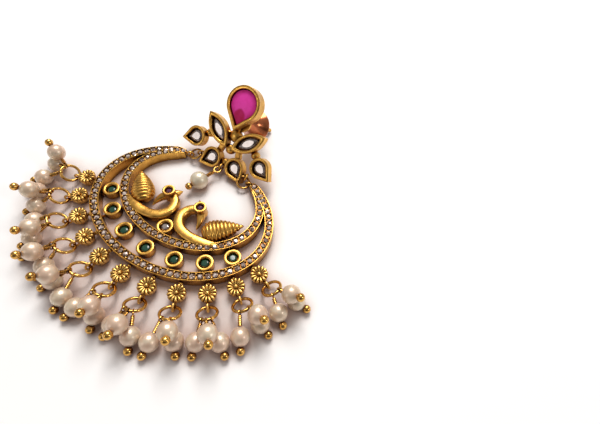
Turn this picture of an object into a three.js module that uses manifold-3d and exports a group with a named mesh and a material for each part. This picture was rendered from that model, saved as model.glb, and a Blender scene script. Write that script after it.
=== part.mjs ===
// Chandbali earring lying on a surface: stud fan, crescent with a pair of peacocks, pearl fringe.
// Millimetres, +Z up, the surface is z = 0. Origin: back of the crescent at the bottom of its outer ring.
import * as THREE from 'three';
import Module from 'manifold-3d';
import { mergeVertices } from 'three/addons/utils/BufferGeometryUtils.js';

const wasm = await Module();
wasm.setup();

// Crescent rings, measured on the middle of their bands
const OUTER_HALF_WIDTH = 20;
const OUTER_HALF_HEIGHT = 14.4;
const SIDE_BAND = 4.1;
const RING_WIDTH = 1.8;
const RING_DEPTH = 2.6;
const CHANNEL_WIDTH = 1.2;
const CHANNEL_DEPTH = 0.35;
const INNER_SHORT = 0.9;
const RING_STEP = 0.06;
const RING_STEPS = 24;

// Round stone settings in the crescent's band
const SETTING_RADIUS = 1.75;
const SETTING_DEPTH = 1.9;
const SETTING_RIM = 0.55;
const CUP_DEPTH = 0.9;
const CUP_TAPER = 0.8;
const STONE_DEPTH = 0.55;
const BAND_PEG = 0.55;
const PEG_RADIUS = 0.32;
const PEG_HEIGHT = 0.55;
const GREEN_COUNT = 7;
const GREEN_STEP = 21;

// Flower beads and the rings that hang on them
const FLOWER_RADIUS = 1.75;
const FLOWER_DEPTH = 2.5;
const FLOWER_LIFT = 0.25;
const FLOWER_PETALS = 10;
const FLOWER_PEG = 0.65;
const FRINGE_END = 76;
const JUMP_RADIUS = 1.8;
const JUMP_WIRE = 0.3;
const JUMP_RISE = 35;

// Pearl drops
const PEARL_RADIUS = 1.75;
const PEARL_GAP = 0.22;
const BALL_RADIUS = 0.8;
const PIN_LENGTH = 1.65;
const PIN_RADIUS = 0.2;
const EYE_GRIP = 0.05;
const COIL_RADIUS = 0.42;
const LOOP_RADIUS = 0.8;
const LOOP_WIRE = 0.22;
const LOOP_LIFT = 0.1;
const CENTRE_PEARL_RADIUS = 2.0;
const CENTRE_COIL_LENGTH = 2.2;
const CENTRE_LOOP_BACK = 0.5;
const CENTRE_AIM = 252;

// Peacocks
const PEACOCK_SPREAD = 10;
const NECK_THICKNESS = 1.05;
const TAIL_RADIUS = 2.5;
const TAIL_FLATNESS = 0.76;
const TAIL_RIBS = 5;
const TAIL_GROOVE = 0.14;
const EYE_SETTING_RADIUS = 1.35;
const EYE_RIM = 0.45;
const EYE_FOOT = 1.0;
const EYE_HEIGHT = 3.7;

// Stud fan, in its own plane: X sideways, Y up the stud, Z out of its face
const STUD_TILT = 46;
const STUD_TURN = 2;
const STUD_SHIFT = 0.6;
const FAN_SPREAD = 10;
const BEZEL_DEPTH = 2.1;
const BEZEL_RIM = 0.62;
const POCKET_DEPTH = 1.35;
const GIRDLE_DEPTH = 0.15;
const FACET_DEPTH = 0.35;
const FACET_WIDTH = 0.45;
const RUBY_HALF_WIDTH = 4.05;
const RUBY_TIP = 6.1;
const RUBY_RIM = 0.75;
const RUBY_RISE = 0.7;
const MARQUISE_HALF_LENGTH = 4.45;
const MARQUISE_HALF_WIDTH = 2.05;
const DROP_RADIUS = 2.35;
const DROP_TIP = 3.75;
const SOLDER_WIDTH = 1.4;
const SOLDER_DEPTH = 1.0;
const POST_RADIUS = 0.5;
const POST_LENGTH = 12.3;
const POST_LEAN = 8;
const PAD_RADIUS = 2.3;
const PAD_DEPTH = 0.7;

// Link rings between the stud and the crescent's tips
const LINK_RADIUS = 1.4;
const LINK_WIRE = 0.25;
const STUD_LOOP_OUT = 6.5;
const STUD_LOOP_DOWN = 2.4;

// Ear nut
const NUT_LENGTH = 5;
const NUT_RADIUS = 3.8;
const NUT_NECK_RADIUS = 1.4;
const NUT_WALL = 0.5;
const NUT_BORE_GAP = 0.12;
const NUT_BACK_OFF = 0.5;

// Clearances and the number of sides of round pieces
const STONE_GAP = 0.1;
const TABLE_GAP = 0.02;
const SOLDER_OVERLAP = 0.1;
const BEAD_SIDES = 10;
const WIRE_SIDES = 5;
const SETTING_SIDES = 10;
const PEG_SIDES = 4;
const SLIVER_VOLUME = 0.001;
const SHORT_EDGE = 0.006;

const DEGREE = Math.PI / 180;
const UP = new THREE.Vector3(0, 0, 1);

// Places in the stud's plane as shares of FAN_SPREAD, each bezel with the direction of its tip
const FAN_TABLE = [
  { name: 'marquise_left', kind: 'marquise', x: -0.41, y: 0.475, aim: 140 },
  { name: 'marquise_right', kind: 'marquise', x: 0.41, y: 0.475, aim: 40 },
  { name: 'inner_drop_left', kind: 'drop', x: -0.315, y: -0.175, aim: 222 },
  { name: 'inner_drop_right', kind: 'drop', x: 0.315, y: -0.175, aim: 318 },
  { name: 'outer_drop_left', kind: 'drop', x: -0.89, y: 0.095, aim: 208 },
  { name: 'outer_drop_right', kind: 'drop', x: 0.89, y: 0.095, aim: 332 },
  { name: 'ruby', kind: 'ruby', x: 0, y: 1.22, aim: 270 },
];

// Solder bars on the back of the stud, from one place to another
const SOLDER_TABLE = [
  { fromX: -0.41, fromY: 0.475, toX: 0.41, toY: 0.475 },
  { fromX: 0, fromY: 0.475, toX: 0, toY: 0.83 },
  { fromX: -0.41, fromY: 0.475, toX: -0.89, toY: 0.095 },
  { fromX: 0.41, fromY: 0.475, toX: 0.89, toY: 0.095 },
  { fromX: -0.19, fromY: 0.29, toX: -0.315, toY: -0.175 },
  { fromX: 0.19, fromY: 0.29, toX: 0.315, toY: -0.175 },
  { fromX: -0.315, fromY: -0.175, toX: 0.315, toY: -0.175 },
];
const POST_SHARE = { x: 0, y: 0.83 };

// Right-hand peacock as shares of PEACOCK_SPREAD, the left one is its mirror image; height is the middle
// of the form
const NECK_TABLE = [
  { x: 1.215, y: -0.365, height: 0.135, radius: 0.085 },
  { x: 0.86, y: -0.475, height: 0.15, radius: 0.1 },
  { x: 0.53, y: -0.495, height: 0.16, radius: 0.1 },
  { x: 0.275, y: -0.41, height: 0.165, radius: 0.1 },
  { x: 0.135, y: -0.21, height: 0.17, radius: 0.1 },
  { x: 0.175, y: 0, height: 0.175, radius: 0.095 },
  { x: 0.32, y: 0.115, height: 0.18, radius: 0.09 },
  { x: 0.43, y: 0.13, height: 0.18, radius: 0.08 },
];
const BEAK_TABLE = [
  { x: 0.41, y: 0.12, height: 0.185, radius: 0.085 },
  { x: 0.5, y: 0.01, height: 0.195, radius: 0.085 },
  { x: 0.56, y: -0.13, height: 0.175, radius: 0.055 },
  { x: 0.585, y: -0.27, height: 0.14, radius: 0.015 },
];
const CREST_TABLE = [
  { x: 0.36, y: 0.16, height: 0.18, radius: 0.075 },
  { x: 0.285, y: 0.26, height: 0.2, radius: 0.05 },
  { x: 0.22, y: 0.34, height: 0.22, radius: 0.012 },
];
const EYE_SHARE = { x: 0.415, y: 0.125 };
const TAIL_BASE_SHARE = { x: 0.76, y: -0.305 };
const TAIL_APEX_SHARE = { x: 1.39, y: 0.29 };

// Ribbed tail: share of its length from base to apex, and share of its full radius
const TAIL_FORM = [
  { along: 0.0, size: 0.42 },
  { along: 0.14, size: 0.86 },
  { along: 0.3, size: 1.0 },
  { along: 0.5, size: 0.9 },
  { along: 0.75, size: 0.56 },
  { along: 1.0, size: 0.06 },
];

// Each fringe: extra wire on its two lying drops, as shares of the pearl radius, and how its top drop
// lies: its place round the jump ring, the way it points and the least angle that it rises at.
const FRINGE_TABLE = [
  { left: 0.1, right: 0.45, around: -42, aim: -36, lift: 18 },
  { left: 0.4, right: 0.0, around: 0, aim: 0, lift: 22 },
  { left: 0.0, right: 0.35, around: 36, aim: 28, lift: 18 },
  { left: 0.5, right: 0.1, around: 0, aim: 4, lift: 22 },
  { left: 0.15, right: 0.5, around: -12, aim: -14, lift: 22 },
  { left: 0.35, right: 0.0, around: 34, aim: 22, lift: 18 },
  { left: 0.0, right: 0.4, around: 0, aim: 8, lift: 22 },
  { left: 0.5, right: 0.15, around: 20, aim: 20, lift: 18 },
  { left: 0.2, right: 0.5, around: 0, aim: 10, lift: 22 },
  { left: 0.45, right: 0.05, around: 30, aim: 20, lift: 18 },
  { left: 0.0, right: 0.3, around: 20, aim: 14, lift: 22 },
];

// Finishes
const GOLD = new THREE.MeshStandardMaterial({ color: 0xc8963c, roughness: 0.42, metalness: 1 });
const BRIGHT_GOLD = new THREE.MeshStandardMaterial({ color: 0xd9a441, roughness: 0.25, metalness: 1 });
const PEARL = new THREE.MeshStandardMaterial({ color: 0xe9d8c4, roughness: 0.28, metalness: 0 });
const RUBY = new THREE.MeshStandardMaterial({ color: 0xb0206c, roughness: 0.1, metalness: 0 });
const EMERALD = new THREE.MeshStandardMaterial({ color: 0x0f5a38, roughness: 0.12, metalness: 0 });
const CRYSTAL = new THREE.MeshStandardMaterial({ color: 0xc9bdb0, roughness: 0.06, metalness: 0 });
const GARNET = new THREE.MeshStandardMaterial({ color: 0x3d1430, roughness: 0.12, metalness: 0 });

// A table's row with the given shares turned into lengths
function sized(row, keys, size) {
  return { ...row, ...Object.fromEntries(keys.map((key) => [key, row[key] * size])) };
}

const BEZELS = FAN_TABLE.map((row) => sized(row, ['x', 'y'], FAN_SPREAD));
const SOLDER_BARS = SOLDER_TABLE.map((row) => sized(row, ['fromX', 'fromY', 'toX', 'toY'], FAN_SPREAD));
const POST_PLACE = sized(POST_SHARE, ['x', 'y'], FAN_SPREAD);

const FORM_KEYS = ['x', 'y', 'height', 'radius'];
const [NECK, BEAK, CREST] = [NECK_TABLE, BEAK_TABLE, CREST_TABLE].map((table) => {
  return table.map((row) => sized(row, FORM_KEYS, PEACOCK_SPREAD));
});
const [EYE_PLACE, TAIL_BASE, TAIL_APEX] = [EYE_SHARE, TAIL_BASE_SHARE, TAIL_APEX_SHARE].map((row) => {
  return sized(row, ['x', 'y'], PEACOCK_SPREAD);
});

// Solids from closed geometries
function solidOf(geometry) {
  const bare = geometry.clone();
  bare.deleteAttribute('normal');
  bare.deleteAttribute('uv');
  const merged = mergeVertices(bare);
  const places = merged.attributes.position.array;
  const corners = merged.index.array;
  const kept = [];
  let volume = 0;
  for (let i = 0; i < corners.length; i += 3) {
    const [a, b, c] = [corners[i], corners[i + 1], corners[i + 2]];
    if (a !== b && b !== c && c !== a) {
      kept.push([a, b, c]);
      const [pa, pb, pc] = [a, b, c].map((corner) => new THREE.Vector3().fromArray(places, 3 * corner));
      volume += pa.dot(pb.cross(pc));
    }
  }
  const faces = volume < 0 ? kept.map(([a, b, c]) => [a, c, b]) : kept;
  const mesh = new wasm.Mesh({ numProp: 3, vertProperties: places, triVerts: new Uint32Array(faces.flat()) });
  return new wasm.Manifold(mesh);
}

// Slivers that a join leaves where faces meet are dropped, and edges too short to see are closed up
function geometryOf(solid) {
  const bodies = solid.simplify(SHORT_EDGE).decompose().filter((body) => body.volume() > SLIVER_VOLUME);
  const mesh = wasm.Manifold.compose(bodies).getMesh();
  const geometry = new THREE.BufferGeometry();
  geometry.setAttribute('position', new THREE.BufferAttribute(mesh.vertProperties, 3));
  geometry.setIndex(new THREE.BufferAttribute(mesh.triVerts, 1));
  geometry.computeVertexNormals();
  return geometry;
}

function joined(solids) {
  return solids.reduce((whole, solid) => whole.add(solid));
}

function placed(geometry, matrix) {
  return solidOf(geometry.clone().applyMatrix4(matrix));
}

function meshOf(name, solid, material) {
  const mesh = new THREE.Mesh(geometryOf(solid), material);
  mesh.name = name;
  return mesh;
}

function moved(x, y, z) {
  return new THREE.Matrix4().makeTranslation(x, y, z);
}

// A frame at a point whose X runs along a direction and whose Z stays as upright as it can
function aimed(point, direction) {
  const along = direction.clone().normalize();
  const side = new THREE.Vector3().crossVectors(UP, along).normalize();
  const top = new THREE.Vector3().crossVectors(along, side);
  return new THREE.Matrix4().makeBasis(along, side, top).setPosition(point);
}

// A round rod from one point to another
function rod(from, to, radius, sides) {
  const direction = to.clone().sub(from);
  const geometry = new THREE.CylinderGeometry(radius, radius, direction.length(), sides);
  geometry.rotateZ(-Math.PI / 2);
  geometry.translate(direction.length() / 2, 0, 0);
  return placed(geometry, aimed(from, direction));
}

// A wire ring in the frame's XZ plane
function wireLoop(radius, wire) {
  return new THREE.TorusGeometry(radius, wire, WIRE_SIDES, BEAD_SIDES).rotateX(Math.PI / 2);
}

// A turned form about Z from rows of radius and height
function turned(rows, sides) {
  const profile = rows.map(([radius, height]) => new THREE.Vector2(radius, height));
  return new THREE.LatheGeometry(profile, sides).rotateX(Math.PI / 2);
}

// A tube of changing radius through a table of places, closed with flat ends
function taperedTube(table, mirror, sides, steps) {
  const points = table.map((row) => new THREE.Vector3(mirror * row.x, row.y, row.height));
  const curve = new THREE.CatmullRomCurve3(points, false, 'centripetal');
  const radii = new THREE.SplineCurve(table.map((row, i) => new THREE.Vector2(i / (table.length - 1), row.radius)));
  const geometry = new THREE.CylinderGeometry(1, 1, 1, sides, steps);
  const place = geometry.attributes.position;
  for (let i = 0; i < place.count; i += 1) {
    const share = Math.min(1, Math.max(0, place.getY(i) + 0.5));
    const centre = curve.getPoint(share);
    const along = curve.getTangent(share);
    const side = new THREE.Vector3().crossVectors(UP, along).normalize();
    const top = new THREE.Vector3().crossVectors(along, side);
    const radius = radii.getPoint(share).y;
    centre.addScaledVector(side, radius * place.getX(i)).addScaledVector(top, radius * place.getZ(i));
    place.setXYZ(i, centre.x, centre.y, centre.z);
  }
  return solidOf(geometry);
}

// The two rings meet at the tips, and the inner one is lower by the band at the bottom
const BAND = RING_WIDTH + 2 * SETTING_RADIUS + 2 * BAND_PEG;
const INNER_HALF_WIDTH = OUTER_HALF_WIDTH - SIDE_BAND;
const LINK_ACROSS = 1.3 * LINK_RADIUS;
const LINK_FORWARD = 0.75 * LINK_RADIUS;
const TIP_LOOP_REACH = LOOP_RADIUS + LOOP_WIRE;
const TIP_X = STUD_LOOP_OUT + LINK_ACROSS + TIP_LOOP_REACH;
const TIP_Y = OUTER_HALF_HEIGHT * Math.sqrt(1 - (TIP_X / OUTER_HALF_WIDTH) ** 2);
const INNER_RISE = Math.sqrt(1 - (TIP_X / INNER_HALF_WIDTH) ** 2);
const INNER_HALF_HEIGHT = (TIP_Y + OUTER_HALF_HEIGHT - BAND) / (1 + INNER_RISE);
const INNER_CENTRE_Y = BAND - OUTER_HALF_HEIGHT + INNER_HALF_HEIGHT;

const outerRing = { halfWidth: OUTER_HALF_WIDTH, halfHeight: OUTER_HALF_HEIGHT, centreY: 0, endX: TIP_X };
const innerRing = {
  halfWidth: INNER_HALF_WIDTH,
  halfHeight: INNER_HALF_HEIGHT,
  centreY: INNER_CENTRE_Y,
  endX: TIP_X + INNER_SHORT,
};
const middleRing = {
  halfWidth: (OUTER_HALF_WIDTH + INNER_HALF_WIDTH) / 2,
  halfHeight: (OUTER_HALF_HEIGHT + INNER_HALF_HEIGHT) / 2,
  centreY: INNER_CENTRE_Y / 2,
};

function onRing(ring, angle) {
  const x = ring.halfWidth * Math.cos(angle);
  const y = ring.centreY + ring.halfHeight * Math.sin(angle);
  return new THREE.Vector3(x, y, 0);
}

function outwardOf(ring, angle) {
  const x = ring.halfHeight * Math.cos(angle);
  const y = ring.halfWidth * Math.sin(angle);
  return new THREE.Vector3(x, y, 0).normalize();
}

class RingArc extends THREE.Curve {
  constructor(ring) {
    super();
    this.ring = ring;
    this.reach = Math.PI / 2 + Math.acos(ring.endX / ring.halfWidth);
  }

  getPoint(share, target = new THREE.Vector3()) {
    const angle = -Math.PI / 2 + (2 * share - 1) * this.reach;
    return target.copy(onRing(this.ring, angle));
  }
}

// A ring band with a channel for its row of small stones, from tip to tip, between two heights
function ringBand(ring, low, high) {
  const half = RING_WIDTH / 2;
  const inner = CHANNEL_WIDTH / 2;
  const floor = high - CHANNEL_DEPTH;
  const section = new THREE.Shape([
    new THREE.Vector2(-low, -half),
    new THREE.Vector2(-low, half),
    new THREE.Vector2(-high, half),
    new THREE.Vector2(-high, inner),
    new THREE.Vector2(-floor, inner),
    new THREE.Vector2(-floor, -inner),
    new THREE.Vector2(-high, -inner),
    new THREE.Vector2(-high, -half),
  ]);
  const arc = new RingArc(ring);
  return solidOf(new THREE.ExtrudeGeometry(section, { steps: RING_STEPS, extrudePath: arc }));
}

// A round setting: a cylinder with a cup for its stone
const CUP_RADIUS = SETTING_RADIUS - SETTING_RIM;
const EYE_CUP_RADIUS = EYE_SETTING_RADIUS - EYE_RIM;

function roundSetting(radius, cupRadius, low, high) {
  return turned([
    [0, low],
    [radius, low],
    [radius, high],
    [cupRadius, high],
    [cupRadius * CUP_TAPER, high - CUP_DEPTH],
    [0, high - CUP_DEPTH],
  ], SETTING_SIDES);
}

// A round cut stone with a table and a ring of facets, its girdle at the cup's wall less the gap
function roundStone(radius, depth) {
  return turned([
    [0, 0],
    [radius * 0.72, 0],
    [radius, depth * 0.55],
    [radius * 0.62, depth],
    [0, depth],
  ], BEAD_SIDES);
}

// A flower bead: a dome with one facet for each petal
function flowerBead() {
  return turned([
    [0, FLOWER_LIFT],
    [FLOWER_RADIUS * 0.88, FLOWER_LIFT],
    [FLOWER_RADIUS, FLOWER_DEPTH * 0.65],
    [FLOWER_RADIUS * 0.3, FLOWER_DEPTH],
    [0, FLOWER_DEPTH],
  ], FLOWER_PETALS);
}

// A pearl and its end ball on a pin, as rows of radius and place along X
function beadRows(pearlRadius, pearlAt) {
  const ballAt = pearlAt + pearlRadius + BALL_RADIUS * 0.85;
  const slope = Math.SQRT1_2;
  return [
    [COIL_RADIUS, pearlAt - pearlRadius * 0.96],
    [pearlRadius * slope, pearlAt - pearlRadius * slope],
    [pearlRadius, pearlAt],
    [pearlRadius * slope, pearlAt + pearlRadius * slope],
    [COIL_RADIUS * 0.8, pearlAt + pearlRadius * 0.98],
    [BALL_RADIUS, ballAt],
    [0, ballAt + BALL_RADIUS],
  ];
}

// A pearl on a pin that is fused to the wire at the start of X and thickens to its wrapped end
function eyedDrop(pearlRadius, pinLength) {
  const rows = [
    [0, -EYE_GRIP],
    [PIN_RADIUS, -EYE_GRIP],
    ...beadRows(pearlRadius, pinLength + pearlRadius),
  ];
  return solidOf(turned(rows, BEAD_SIDES).rotateY(Math.PI / 2));
}

// A pearl on a pin with a flat-lying wire loop, along X from the middle of the loop
function loopedDrop(pearlRadius, coilLength) {
  const rows = [
    [0, LOOP_RADIUS],
    [COIL_RADIUS, LOOP_RADIUS],
    ...beadRows(pearlRadius, LOOP_RADIUS + coilLength + pearlRadius),
  ];
  const body = solidOf(turned(rows, BEAD_SIDES).rotateY(Math.PI / 2));
  const loop = new THREE.TorusGeometry(LOOP_RADIUS, LOOP_WIRE, WIRE_SIDES, BEAD_SIDES);
  return body.add(solidOf(loop));
}

// Fringe layout: the jump ring leans up from the flower's loop, and the drops slope down from it
const FLOWER_LOOP_X = FLOWER_RADIUS + LOOP_RADIUS * 0.7;
const FLOWER_LOOP_Z = LOOP_RADIUS + LOOP_WIRE + LOOP_LIFT;
const JUMP_TILT = JUMP_RISE * DEGREE;
const JUMP_CENTRE = new THREE.Vector3(
  FLOWER_LOOP_X + JUMP_RADIUS * Math.cos(JUMP_TILT),
  0,
  FLOWER_LOOP_Z + JUMP_RADIUS * Math.sin(JUMP_TILT),
);
const LYING_AROUND = 28 * DEGREE;
const HANG = PIN_LENGTH + PEARL_RADIUS;

function onJumpRing(angle) {
  const out = JUMP_RADIUS * Math.cos(angle);
  const place = new THREE.Vector3(out * Math.cos(JUMP_TILT), JUMP_RADIUS * Math.sin(angle), out * Math.sin(JUMP_TILT));
  return place.add(JUMP_CENTRE);
}

function heading(aim, rise) {
  return new THREE.Vector3(Math.cos(rise) * Math.cos(aim), Math.cos(rise) * Math.sin(aim), Math.sin(rise));
}

// A lying drop: its pearl rests on the surface beside the other one
function lyingDrop(side, extra) {
  const start = onJumpRing(side * LYING_AROUND);
  const hang = HANG + extra;
  const rise = Math.asin((PEARL_RADIUS + TABLE_GAP - start.z) / hang);
  const across = PEARL_RADIUS + PEARL_GAP / 2 - Math.abs(start.y);
  const aim = Math.asin(across / (HANG * Math.cos(rise)));
  const direction = heading(side * aim, rise);
  const pearl = start.clone().addScaledVector(direction, hang);
  return { start, direction, extra, pearl };
}

// The top drop rises until its pearl clears the two lying ones
function topDrop(row, lying) {
  const start = onJumpRing(row.around * DEGREE);
  let rise = row.lift * DEGREE;
  let direction = heading(row.aim * DEGREE, rise);
  let pearl = start.clone().addScaledVector(direction, HANG);
  const nearest = () => Math.min(...lying.map((drop) => drop.pearl.distanceTo(pearl)));
  while (nearest() < 2 * PEARL_RADIUS + PEARL_GAP / 2 && rise < Math.PI / 2) {
    rise += DEGREE;
    direction = heading(row.aim * DEGREE, rise);
    pearl = start.clone().addScaledVector(direction, HANG);
  }
  return { start, direction, extra: 0, pearl };
}

const PEARL_ROW = FLOWER_PEG + RING_WIDTH / 2 + FLOWER_RADIUS + lyingDrop(1, 0).pearl.x;

// Angles of the flowers round the outer ring, evenly spaced along the row of pearls
function fringeAngles() {
  const samples = 400;
  const rowPoint = (angle) => onRing(outerRing, angle).addScaledVector(outwardOf(outerRing, angle), PEARL_ROW);
  const angleAt = (i) => (-90 - FRINGE_END + (2 * FRINGE_END * i) / samples) * DEGREE;
  const travelled = [0];
  for (let i = 1; i <= samples; i += 1) {
    travelled.push(travelled[i - 1] + rowPoint(angleAt(i)).distanceTo(rowPoint(angleAt(i - 1))));
  }
  const total = travelled[samples];
  const pitches = Math.max(2, Math.floor(total / (4 * PEARL_RADIUS + 2 * PEARL_GAP)));
  const angles = [];
  for (let k = 0; k <= pitches; k += 1) {
    const wanted = (total * k) / pitches;
    const i = Math.min(samples, Math.max(1, travelled.findIndex((length) => length >= wanted)));
    const share = (wanted - travelled[i - 1]) / (travelled[i] - travelled[i - 1]);
    angles.push(angleAt(i - 1) + share * (angleAt(i) - angleAt(i - 1)));
  }
  return angles;
}

const flowerOffset = RING_WIDTH / 2 + FLOWER_PEG + FLOWER_RADIUS;
const fringes = fringeAngles().map((angle) => {
  const outward = outwardOf(outerRing, angle);
  const place = onRing(outerRing, angle).addScaledVector(outward, flowerOffset);
  return { angle, outward, place };
});

// Round settings of the crescent's band, along the middle of it
const greens = [];
for (let i = 0; i < GREEN_COUNT; i += 1) {
  const angle = (-90 + (i - (GREEN_COUNT - 1) / 2) * GREEN_STEP) * DEGREE;
  greens.push({ angle, place: onRing(middleRing, angle) });
}
const INNER_BOTTOM = INNER_CENTRE_Y - INNER_HALF_HEIGHT + RING_WIDTH / 2;
const clearPlace = new THREE.Vector3(0, INNER_BOTTOM + SETTING_RADIUS - SOLDER_OVERLAP, 0);

// Ribbed tail of a peacock, flattened, lying beside the neck
function tail(mirror) {
  const base = new THREE.Vector3(mirror * TAIL_BASE.x, TAIL_BASE.y, 0);
  const apex = new THREE.Vector3(mirror * TAIL_APEX.x, TAIL_APEX.y, 0);
  const length = base.distanceTo(apex);
  const form = new THREE.SplineCurve(TAIL_FORM.map((row) => new THREE.Vector2(row.along, row.size)));
  const rows = [[0, 0]];
  const count = 2 * TAIL_RIBS;
  for (let i = 0; i <= count; i += 1) {
    const at = form.getPoint(i / count);
    const groove = i % 2 === 0 ? TAIL_GROOVE : 0;
    rows.push([Math.max(0.05, TAIL_RADIUS * at.y - groove), at.x * length]);
  }
  rows.push([0, length]);
  const geometry = turned(rows, BEAD_SIDES).rotateY(Math.PI / 2).scale(1, 1, TAIL_FLATNESS);
  const height = TAIL_RADIUS * TAIL_FLATNESS + TABLE_GAP;
  base.setZ(height);
  apex.setZ(height);
  return placed(geometry, aimed(base, apex.sub(base)));
}

function eyeSetting(mirror) {
  const geometry = roundSetting(EYE_SETTING_RADIUS, EYE_CUP_RADIUS, EYE_FOOT, EYE_HEIGHT);
  return placed(geometry, moved(mirror * EYE_PLACE.x, EYE_PLACE.y, 0));
}

function peacock(mirror) {
  return [
    taperedTube(NECK.map((row) => ({ ...row, radius: row.radius * NECK_THICKNESS })), mirror, 8, 9),
    taperedTube(BEAK, mirror, 6, 3),
    taperedTube(CREST, mirror, 5, 2),
    tail(mirror),
    eyeSetting(mirror),
  ];
}

// Where the stud lies: its lowest edge on the surface, its loops one link ring away from the tips
const tilt = STUD_TILT * DEGREE;
const tipLoopAngle = Math.PI - Math.acos(TIP_X / OUTER_HALF_WIDTH);
const tipAlong = new THREE.Vector3(
  OUTER_HALF_WIDTH * Math.sin(tipLoopAngle),
  -OUTER_HALF_HEIGHT * Math.cos(tipLoopAngle),
  0,
).normalize();
const TIP_LOOP_Z = RING_DEPTH / 2;
const tipLoops = [-1, 1].map((mirror) => new THREE.Vector3(
  mirror * (TIP_X - tipAlong.x * TIP_LOOP_REACH),
  TIP_Y + tipAlong.y * TIP_LOOP_REACH,
  TIP_LOOP_Z,
));

function teardrop(radius, tip, aim) {
  const half = Math.acos(radius / tip);
  const shape = new THREE.Shape();
  shape.moveTo(tip * Math.cos(aim), tip * Math.sin(aim));
  shape.absarc(0, 0, radius, aim + half, aim + 2 * Math.PI - half, false);
  shape.closePath();
  return shape;
}

function marquise(halfLength, halfWidth, aim) {
  const radius = (halfLength ** 2 + halfWidth ** 2) / (2 * halfWidth);
  const half = Math.asin(halfLength / radius);
  const away = radius - halfWidth;
  const shape = new THREE.Shape();
  const [nx, ny] = [-Math.sin(aim), Math.cos(aim)];
  shape.absarc(-away * nx, -away * ny, radius, aim + Math.PI / 2 - half, aim + Math.PI / 2 + half, false);
  shape.absarc(away * nx, away * ny, radius, aim - Math.PI / 2 - half, aim - Math.PI / 2 + half, false);
  return shape;
}

// The outline of a bezel, or of its pocket or stone when it is drawn in by an inset
function outline(bezel, inset) {
  const aim = bezel.aim * DEGREE;
  if (bezel.kind === 'marquise') {
    return marquise(MARQUISE_HALF_LENGTH - 1.9 * inset, MARQUISE_HALF_WIDTH - inset, aim);
  }
  if (bezel.kind === 'ruby') {
    return teardrop(RUBY_HALF_WIDTH - inset, RUBY_TIP - 1.45 * inset, aim);
  }
  return teardrop(DROP_RADIUS - inset, DROP_TIP - 1.5 * inset, aim);
}

function outlinePoints(shape, divisions) {
  const points = shape.getPoints(divisions);
  const kept = points.filter((point, i) => i === 0 || point.distanceTo(points[i - 1]) > 1e-4);
  if (kept[0].distanceTo(kept[kept.length - 1]) < 1e-4) {
    kept.pop();
  }
  return kept;
}

const OUTLINE_DIVISIONS = { marquise: 4, drop: 5, ruby: 7 };
const STONE_DIVISIONS = { marquise: 3, drop: 5, ruby: 6 };

function bezelGeometry(bezel, inset, low, high) {
  const shape = new THREE.Shape(outlinePoints(outline(bezel, inset), OUTLINE_DIVISIONS[bezel.kind]));
  const geometry = new THREE.ExtrudeGeometry(shape, { depth: high - low, bevelEnabled: false });
  return geometry.translate(bezel.x, bezel.y, low);
}

function frontOf(bezel) {
  return bezel.kind === 'ruby' ? RUBY_RISE : 0;
}

function rimOf(bezel) {
  return bezel.kind === 'ruby' ? RUBY_RIM : BEZEL_RIM;
}

// A cut stone: a table and one row of facets on each side of its girdle
function bezelStone(bezel) {
  const inset = rimOf(bezel) + STONE_GAP;
  const shape = new THREE.Shape(outlinePoints(outline(bezel, inset), STONE_DIVISIONS[bezel.kind]));
  const geometry = new THREE.ExtrudeGeometry(shape, {
    depth: GIRDLE_DEPTH,
    bevelThickness: FACET_DEPTH,
    bevelSize: FACET_WIDTH,
    bevelOffset: -FACET_WIDTH,
    bevelSegments: 1,
  });
  const floor = frontOf(bezel) - POCKET_DEPTH;
  return solidOf(geometry.translate(0, 0, FACET_DEPTH + STONE_GAP)).translate([bezel.x, bezel.y, floor]);
}

const lowestEdge = Math.min(...BEZELS.flatMap((bezel) => outlinePoints(outline(bezel, 0), 24)
  .map((point) => (bezel.y + point.y) * Math.sin(tilt) - BEZEL_DEPTH * Math.cos(tilt))));
const studLoopDepth = BEZEL_DEPTH / 2;
const studFrame = new THREE.Matrix4().makeRotationZ(-STUD_TURN * DEGREE)
  .multiply(new THREE.Matrix4().makeRotationX(tilt));
const loopRise = new THREE.Vector3(0, -STUD_LOOP_DOWN, -studLoopDepth).applyMatrix4(studFrame);
const studPlace = new THREE.Vector3(STUD_SHIFT, tipLoops[0].y + LINK_FORWARD - loopRise.y, TABLE_GAP - lowestEdge);
studFrame.setPosition(studPlace);
const studInverse = studFrame.clone().invert();
const studLoops = [-1, 1].map((mirror) => new THREE.Vector3(
  mirror * STUD_LOOP_OUT,
  -STUD_LOOP_DOWN,
  -studLoopDepth,
).applyMatrix4(studFrame));

// A link ring through the middles of a tip loop and a stud loop, and its direction at both
function linkThrough(from, to) {
  const chord = to.clone().sub(from);
  const half = chord.length() / 2;
  const across = new THREE.Vector3(chord.y, -chord.x, 0).normalize();
  if (across.y > 0) {
    across.negate();
  }
  const away = Math.sqrt(Math.max(0, LINK_RADIUS ** 2 - half ** 2));
  const centre = from.clone().add(to).multiplyScalar(0.5).addScaledVector(across, away);
  const normal = new THREE.Vector3().crossVectors(chord, across).normalize();
  const along = (point) => new THREE.Vector3().crossVectors(normal, point.clone().sub(centre)).normalize();
  return { centre, normal, alongFrom: along(from), alongTo: along(to) };
}

const links = tipLoops.map((place, i) => linkThrough(place, studLoops[i]));

// A wire loop at a point, facing along a direction, so that a ring running that way passes through it
function facingLoop(point, facing, radius, wire) {
  const turn = new THREE.Quaternion().setFromUnitVectors(UP, facing.clone().normalize());
  const matrix = new THREE.Matrix4().makeRotationFromQuaternion(turn).setPosition(point);
  return placed(new THREE.TorusGeometry(radius, wire, WIRE_SIDES, BEAD_SIDES), matrix);
}

// The place on a facing loop's wire that lies nearest to a point
function wireNear(point, centre, facing, radius) {
  const towards = point.clone().sub(centre);
  towards.addScaledVector(facing, -towards.dot(facing)).normalize();
  return centre.clone().addScaledVector(towards, radius);
}

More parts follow.
